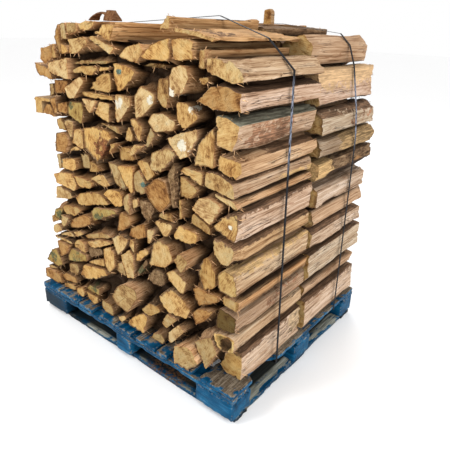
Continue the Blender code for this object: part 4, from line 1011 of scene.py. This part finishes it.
# Outlines of the two solid hearts, within which the logs of each rank lie close together.
NEAR_CORE = metres((
    (-57, 15.2), (-57, 26), (-51, 31), (-46, 33), (-47, 40), (-49.6, 46), (-49, 50.5), (-46, 54), (-43.5, 58),
    (-42, 70), (-40.4, 74), (-40.4, 82), (-37, 86), (-35.5, 94), (-38.8, 99), (-40, 104), (-43.4, 106),
    (-43.4, 109.5), (-37, 112), (-36, 117), (-34, 122), (-29, 128), (-20, 130), (-12, 131.6), (0, 129),
    (12, 127), (25, 128), (36, 127), (40, 122), (48, 117), (50, 100), (53.5, 60), (53.5, 40), (50, 16),
))
FAR_CORE = metres((
    (-55, 15.2), (49, 15.2), (49, 100), (44, 118), (40, 127), (34, 131), (14, 132), (-10, 131.5),
    (-27, 129), (-35, 119), (-40, 101), (-44.5, 83), (-48.5, 63), (-53, 34),
))


def pushed_out(outline, left, right):
    """The heart's outline with its two sides moved out towards the faces of the stack."""
    return np.array([(x - left if x < -0.3 else x + right if x > 0.3 else x, z) for x, z in outline])


def seam_end(outline, rank):
    """Where a log ends between the two ranks: some reach a little past the middle."""
    past = outline[:, 0].max() < -0.03 if rank < 0 else outline[:, 0].min() > 0.03
    return rank * (random.uniform(-0.004, -0.001) if past else random.uniform(0.0060, 0.0075))


def front_beside(all_cuts, middle):
    """Where the ends round a log stand on the whole."""
    near = [c[2] for c in all_cuts if 0.0 < math.dist(c[1], middle) < 0.13]
    return sum(near) / len(near) if near else None


def lay_rows(rank, rows, found, owner, heart, face, look_at, splinters, size):
    """The logs of a rank that share one solid, in rows from the deck up, one mesh a row."""
    per_row = math.ceil(len(found) / rows)
    for row in range(rows):
        heap = Heap()
        first = row * per_row
        for number, (outline, middle, y, slope) in enumerate(found[first:first + per_row], first + 1):
            room = partial(room_beside, owner, number)
            look = look_at(outline, on_outside(middle, heart), room)
            look["front"] = front_beside(found, middle)
            ends = [(y, *slope), (seam_end(outline, -face), 0.0, 0.0)]
            heap.put(*split_log(outline, *ends[::face], look))
            heap.fray(outline, y, face, splinters, size)
        heap.make("%s_logs_row_%d" % (rank, row + 1), ("%s_rank_logs" % rank,))


# The ends of the ranks' shared solids stand further out than this; what lies behind is their seam.
ENDS_BEYOND = 0.428
EDGE_LOGS = sorted(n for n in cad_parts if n.startswith(("corner_log", "left_log", "top_log")))
near_cuts = cuts("near_rank_logs", -1, ENDS_BEYOND)
near_owner = shares([c[0] for c in near_cuts] + [cuts(n, -1)[0][0] for n in EDGE_LOGS],
                    pushed_out(NEAR_CORE, 0.050, 0.042))
lay_rows("near", 9, near_cuts, near_owner, NEAR_CORE, 1, near_look, 8, 1.0)


# Wood behind the ends
# The logs lie in many layers, and between their ends the eye meets wood further in, which lies in shade and is
# painted near black.
# It is one rough body in each rank, set back from the saw cuts on the rank's open side.
def core(name, outline, y_rough, y_seam, stands_for):
    """The inner wood of a rank: a drawn outline, its open side broken up by log ends set far back, and painted
    dark as shade.
    """
    middle = np.array([0.0, 0.70])
    ring = around(outline, 220)
    side = np.sign(y_rough - y_seam)
    rows = []
    for t in np.linspace(1.0, 0.08, 34):
        xz = middle + (ring - middle) * t
        pts = np.column_stack([xz[:, 0], np.full(len(xz), y_rough), xz[:, 1]])
        cell = lattice_noise(np.column_stack([xz / 0.030, np.full(len(xz), 5.5)]) + 40.0, 71)
        fine = lattice_noise(np.column_stack([xz / 0.009, np.full(len(xz), 2.5)]) + 40.0, 72)
        pts[:, 1] -= side * (0.030 * smooth(cell, 0.35, 0.65) + 0.008 * fine)
        rows.append(pts)
    hub = rows[-1].mean(axis=0)
    seam = [np.column_stack([ring[:, 0], np.full(len(ring), y), ring[:, 1]])
            for y in (y_rough - side * 0.05, y_seam)]
    back_hub = np.array([[middle[0], y_seam, middle[1]]])
    verts = np.vstack(seam[::-1] + rows + [hub[None, :], back_hub])
    count = len(ring)
    i = np.arange(count)
    n = np.roll(i, -1)
    faces = []
    for row in range(len(rows) + 1):
        a = row * count
        b = a + count
        quad = [a + i, a + n, b + n, b + i]
        faces.append(np.column_stack(quad if side < 0 else quad[::-1]))
    faces = np.vstack(faces).tolist()
    last = (len(rows) + 1) * count
    front = [last + i, last + n, np.full(count, len(verts) - 2)]
    rear = [n, i, np.full(count, len(verts) - 1)]
    for fan in (front, rear):
        faces += np.column_stack(fan if side < 0 else fan[::-1]).tolist()
    # Painted shade: the rough open side of the inner wood is near black, its sides towards the seam less so.
    deep = np.where(np.arange(len(verts)) < 2 * count, 0.35, 0.90)
    values = shading(verts, bark=0.4, seed=3.0, deep=deep, tint=(0.8, 0.7, 0.6, 1.0))
    piece(name, verts.tolist(), faces, LOG_WOOD, values, stands_for)


core("near_rank_inner_wood", NEAR_CORE, -0.425, -0.005, ("near_rank_logs",))
core("far_rank_inner_wood", FAR_CORE, 0.425, 0.005, ("far_rank_logs",))


# Corner, left and top logs
# These stand at the edges of the near rank, so that one or two of their long sides show.
BROWN_BARK = (0.185, 0.100, 0.054)
GREY_BARK = (0.190, 0.190, 0.140)
# Painted shade: near black along the undersides of edge logs, in the seams under them.
UNDERSIDE_SHADE = (0.040, 0.022, 0.013)
RED_WOOD = (0.330, 0.165, 0.090)
GOLD_WOOD = (0.560, 0.360, 0.160)
HONEY_WOOD = (0.600, 0.390, 0.205)
TAN_BARK = (0.360, 0.230, 0.105)
ALL = (-1.0, 1.0)
# What sets each log apart. A band is a stripe along the log: its bearing in degrees, its spread,
# where it starts and ends in Y, its colour and its strength.
EDGE_FINISH = {
    "corner_log_01": {"side_tint": (1.14, 1.10, 1.00), "bands": ((-90, 1.30, *ALL, BROWN_BARK, 0.80),)},
    "corner_log_02": {"tint": (0.74, 0.62, 0.50), "side_tint": (1.18, 1.14, 1.19),
                      "bands": ((90, 1.30, *ALL, BROWN_BARK, 1.0), (-90, 0.90, *ALL, UNDERSIDE_SHADE, 0.7))},
    "corner_log_03": {"tint": (1.02, 0.98, 0.88), "side_tint": (1.06, 1.01, 0.98),
                      "bands": ((95, 1.10, *ALL, GREY_BARK, 1.0), (30, 1.70, -0.42, -0.16, RED_WOOD, 0.60))},
    "corner_log_04": {"tint": (1.02, 0.92, 0.74), "side_tint": (1.22, 1.10, 0.93),
                      "bands": ((90, 1.20, -0.32, 0.1, BROWN_BARK, 0.95),)},
    "corner_log_05": {"side_tint": (1.04, 0.98, 0.91),
                      "bands": ((-70, 1.20, -0.25, 0.1, GOLD_WOOD, 0.6), (90, 1.05, *ALL, BROWN_BARK, 0.85))},
    "corner_log_06": {"side_tint": (1.18, 1.14, 1.16), "bands": ((90, 1.30, *ALL, BROWN_BARK, 1.0),)},
    "corner_log_07": {"side_tint": (1.10, 0.98, 0.75),
                      "bands": ((90, 1.35, *ALL, BROWN_BARK, 1.0), (-90, 1.0, *ALL, UNDERSIDE_SHADE, 0.8))},
    "corner_log_08": {"tint": (0.90, 0.89, 0.76), "side_tint": (1.14, 1.10, 0.98),
                      "bands": ((90, 1.00, *ALL, GOLD_WOOD, 0.6), (-90, 1.15, *ALL, BROWN_BARK, 0.95))},
    "corner_log_09": {"tint": (0.21, 0.19, 0.125), "rim": 1.0, "side_tint": (0.84, 0.77, 0.71),
                      "bands": ((-90, 1.15, *ALL, BROWN_BARK, 0.95), (0, 2.0, -0.30, -0.05, RED_WOOD, 0.4))},
    "corner_log_10": {"tint": (1.06, 1.04, 0.86), "rim": 0.2, "side_tint": (1.14, 1.08, 0.96), "hollow": 0.020,
                      "bands": ((-90, 1.30, *ALL, BROWN_BARK, 1.0),)},
    "corner_log_11": {"tint": (0.94, 0.86, 0.66), "side_tint": (1.24, 1.23, 1.25), "drop": 0.011,
                      "knots": ((-0.030, 0.225, 0.045),), "bands": ((90, 1.20, *ALL, BROWN_BARK, 1.0),)},
    "left_log_1": {"tint": (0.74, 0.60, 0.46), "rough": 0.5},
    "left_log_2": {"tint": (0.80, 0.66, 0.50), "rough": 0.5},
    "left_log_3": {"tint": (0.78, 0.66, 0.52)},
    "top_log_1": {"side_tint": (1.30, 1.06, 0.70)},
    "top_log_2": {"tint": (1.04, 0.98, 0.84), "side_tint": (1.28, 1.06, 0.74)},
    "top_log_3": {"side_tint": (1.26, 1.05, 0.73), "bands": ((90, 1.10, -0.45, -0.30, BROWN_BARK, 0.6),)},
    "top_log_4": {"side_tint": (1.10, 0.88, 0.58), "bands": ((90, 1.10, -0.30, 0.10, BROWN_BARK, 0.4),)},
}
SIDE_FINISH = {
    "side_log_01": {"side_tint": (1.24, 1.22, 1.32),
                    "bands": ((80, 1.46, *ALL, HONEY_WOOD, 1.0), (-90, 0.9, *ALL, UNDERSIDE_SHADE, 0.8))},
    "side_log_02": {"side_tint": (1.01, 1.09, 1.12),
                    "bands": ((10, 1.90, 0.26, 0.50, RED_WOOD, 0.45), (90, 1.0, *ALL, BROWN_BARK, 0.8))},
    "side_log_03": {"side_tint": (0.80, 0.82, 0.81), "rough": 1.5,
                    "bands": ((0, 2.3, 0.17, 0.60, TAN_BARK, 0.9), (-90, 1.1, *ALL, UNDERSIDE_SHADE, 0.9))},
    "side_log_04": {"barked": 1.0, "bark_side": 20.0, "bark_from": 0.1, "rough": 1.5,
                    "bands": ((0, 2.3, -1.0, 0.13, GOLD_WOOD, 0.9), (-90, 1.1, *ALL, UNDERSIDE_SHADE, 0.9))},
    "side_log_05": {"side_tint": (1.17, 1.21, 1.29), "bands": ((-90, 1.10, *ALL, BROWN_BARK, 0.9),)},
    "side_log_06": {"side_tint": (1.17, 1.19, 1.24), "ripple": 0.0012,
                    "bands": ((-90, 1.05, *ALL, UNDERSIDE_SHADE, 0.9), (90, 1.0, *ALL, BROWN_BARK, 0.8))},
    "side_log_07": {"side_tint": (1.13, 1.20, 1.22), "bands": ((90, 1.10, *ALL, BROWN_BARK, 0.9),)},
    "side_log_08": {"side_tint": (1.30, 1.32, 1.39), "bands": ((90, 1.25, *ALL, BROWN_BARK, 1.0),)},
}


def single_log(name, face, owner, number, changes):
    """A log with a solid of its own, from the saw cuts of that solid."""
    outline, middle, near_y, near_slope = cuts(name, -1)[0]
    _, _, far_y, far_slope = cuts(name, 1)[0]
    stains = stains_on(middle) if face > 0 else ()
    room = partial(room_beside, owner, number)
    look = look_of(face, True, **{"barked": 0.0, "stains": stains, "room": room, "seam": 0.006, **changes})
    heap = Heap()
    heap.put(*split_log(outline, (near_y, *near_slope), (far_y, *far_slope), look))
    heap.fray(outline, near_y if face > 0 else far_y, face, 10, 0.8 if face > 0 else 0.5)
    heap.make("split_" + name, (name,))


for log, changes in EDGE_FINISH.items():
    single_log(log, 1, near_owner, len(near_cuts) + 1 + EDGE_LOGS.index(log), changes)


# Far rank
# A second stack of the same logs behind the first, its other ends on the far side. Eight of
# them show their split sides on the right; the rest lie behind, above and to the left of these.
far_cuts = cuts("far_rank_logs", 1, ENDS_BEYOND)
far_owner = shares([c[0] for c in far_cuts] + [cuts(n, 1)[0][0] for n in SIDE_FINISH],
                   pushed_out(FAR_CORE, 0.035, 0.085))


def far_look(outline, is_open, room):
    """The look of a log of the far rank: those whose sides show on top and on the right differ."""
    x, z = outline.mean(axis=0)
    changes = {}
    if 0.15 < x < 0.36 and z > 1.26:
        changes = {"barked": 1.0, "all_bark": 0.8, "side_tint": (0.8, 0.66, 0.5)}
    elif x > 0.40:
        changes = {"barked": 0.0, "side_tint": (1.12, 1.02, 0.92)}
    return look_of(-1, is_open, room=room, coarse=1.6, **changes)


for number, (log, changes) in enumerate(SIDE_FINISH.items(), len(far_cuts) + 1):
    single_log(log, -1, far_owner, number, changes)
lay_rows("far", 7, far_cuts, far_owner, FAR_CORE, -1, far_look, 5, 0.5)


# Loose pieces
# A curl of bark and an upright stick lie on the stack, and a short slab sticks out at the left.
def loose(name, bark, tint, thick, taper=0.0):
    """A small solid with its faces cut finer and roughened inwards."""
    bm = bmesh.new()
    bm.from_mesh(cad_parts[name].data)
    bmesh.ops.remove_doubles(bm, verts=bm.verts, dist=2e-5)
    bmesh.ops.dissolve_limit(bm, angle_limit=0.02, verts=bm.verts, edges=bm.edges)
    bmesh.ops.triangulate(bm, faces=bm.faces)
    for _ in range(7):
        long = [e for e in bm.edges if e.calc_length() > 0.009]
        if not long:
            break
        bmesh.ops.subdivide_edges(bm, edges=long, cuts=1)
        bmesh.ops.triangulate(bm, faces=[f for f in bm.faces if len(f.verts) > 3])
    bmesh.ops.smooth_vert(bm, verts=bm.verts, factor=0.35, use_axis_x=True, use_axis_z=True)
    bm.normal_update()
    verts = np.array([v.co for v in bm.verts])
    normals = np.array([v.normal for v in bm.verts])
    faces = [[v.index for v in f.verts] for f in bm.faces]
    bm.free()
    low, high = verts.min(axis=0), verts.max(axis=0)
    middle = (low + high) / 2
    verts[:, 1] = middle[1] + (verts[:, 1] - middle[1]) * (1.0 - taper * smooth(verts[:, 2], low[2], high[2]))
    rough = lattice_noise(verts / np.array([0.006, 0.03, 0.006]) + 33.0, 12)
    verts = verts - normals * (thick * rough)[:, None]
    end = smooth(np.abs(normals[:, 1]), 0.6, 0.9)
    values = shading(verts, end=end, bark=bark, seed=8.0 + thick, tint=(*tint, 1.0))
    piece("loose_" + name, verts.tolist(), faces, LOG_WOOD, values, (name,))


loose("bark_chip", 0.45, (0.34, 0.17, 0.10), 0.0010, 0.75)
loose("hooked_slab", 0.0, (0.92, 0.84, 0.66), 0.0012)
loose("upright_stick", 0.0, (0.90, 0.78, 0.60), 0.0012)


# Straps
# Two bands of black plastic strapping, 12 mm wide, pulled tight round each rank and the deck.
def strapping():
    mat, tree, shader = finish("black_strapping")
    spot = node(tree, "ShaderNodeTexCoord", out=3)
    scuff = cloudy(spot, 60.0, 0.0, 4.0, along=6.0)
    weave = cloudy(spot, 900.0, 2.0, 1.0)
    wide, _, high = apart(spot)
    # Painted highlight: a bluish-grey sheen on the right-hand upright stretch, between about 0.86 and 1.2 m up;
    # the faint grey elsewhere is scuffing.
    rubbed_and_sheen = high.step(0.86, 1.00) * (1.0 - high.step(1.14, 1.22)) * wide.step(0.50, 0.56)
    grey = scuff.step(0.52, 0.70) * 0.12 + rubbed_and_sheen * scuff.step(0.44, 0.56) * 0.80
    colour = mixed(grey, (0.004, 0.004, 0.005), (0.330, 0.360, 0.450))
    bump = node(tree, "ShaderNodeBump", None, Strength=0.3, Distance=0.0004, Height=weave + scuff)
    shader.inputs["Specular IOR Level"].default_value = 0.1
    wire_up(tree, shader, colour=colour, rough=0.50 + scuff * 0.2, normal=bump)
    return mat


STRAPPING = strapping()
for name in ("strap_near", "strap_far"):
    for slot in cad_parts[name].material_slots:
        slot.material = STRAPPING


# Studio
# A pale floor and soft light; the camera stands where the photograph was taken.
def stage_floor():
    mesh = bpy.data.meshes.new("floor")
    bm = bmesh.new()
    bmesh.ops.create_grid(bm, x_segments=1, y_segments=1, size=30.0)
    bm.to_mesh(mesh)
    bm.free()
    floor = bpy.data.objects.new("floor", mesh)
    bpy.context.scene.collection.objects.link(floor)
    mat, tree, shader = finish("pale_floor")
    shader.inputs["Base Color"].default_value = (0.97, 0.97, 0.97, 1.0)
    shader.inputs["Roughness"].default_value = 0.9
    mesh.materials.append(mat)


stage_floor()


def soft_light(name, place, aim, size, power):
    data = bpy.data.lights.new(name, "AREA")
    data.shape = "DISK"
    data.size = size
    data.energy = power
    lamp = bpy.data.objects.new(name, data)
    bpy.context.scene.collection.objects.link(lamp)
    lamp.location = place
    lamp.rotation_mode = "QUATERNION"
    lamp.rotation_quaternion = (Vector(place) - Vector(aim)).to_track_quat("Z", "Y")


soft_light("key", (-1.6, -4.2, 4.2), (0.0, -0.3, 0.6), 1.6, 130.0)
soft_light("right", (4.6, -1.6, 3.2), (0.2, 0.0, 0.6), 2.2, 110.0)
soft_light("back", (-2.5, 4.5, 4.0), (0.0, 0.2, 0.7), 3.0, 80.0)
world = bpy.data.worlds.new("studio")
world.use_nodes = True
sky = world.node_tree.nodes["Background"]
sky.inputs["Color"].default_value = (1.0, 1.0, 1.0, 1.0)
sky.inputs["Strength"].default_value = 1.0
bpy.context.scene.world = world
bpy.context.scene.view_settings.view_transform = "Standard"

# The camera's place, turn, tilt and roll come from the pallet's corners in the photograph.
EYE = Vector((1.3229, -1.5150, 1.3468))
TURN = math.radians(37.86)
TILT = math.radians(23.57)
ROLL = math.radians(2.27)
FOCAL_PIXELS = 460.5
FRAME_PIXELS = 450
SENSOR_MM = 36.0
back = Vector((math.sin(TURN) * math.cos(TILT), -math.cos(TURN) * math.cos(TILT), math.sin(TILT)))
level = Vector((math.cos(TURN), math.sin(TURN), 0.0))
upward = back.cross(level)
right = math.cos(ROLL) * level + math.sin(ROLL) * upward
above = math.cos(ROLL) * upward - math.sin(ROLL) * level
camera = bpy.data.objects.new("camera", bpy.data.cameras.new("camera"))
bpy.context.scene.collection.objects.link(camera)
camera.data.sensor_width = SENSOR_MM
camera.data.lens = SENSOR_MM * FOCAL_PIXELS / FRAME_PIXELS
camera.matrix_world = Matrix((
    (right.x, above.x, back.x, EYE.x),
    (right.y, above.y, back.y, EYE.y),
    (right.z, above.z, back.z, EYE.z),
    (0.0, 0.0, 0.0, 1.0),
))
bpy.context.scene.camera = camera
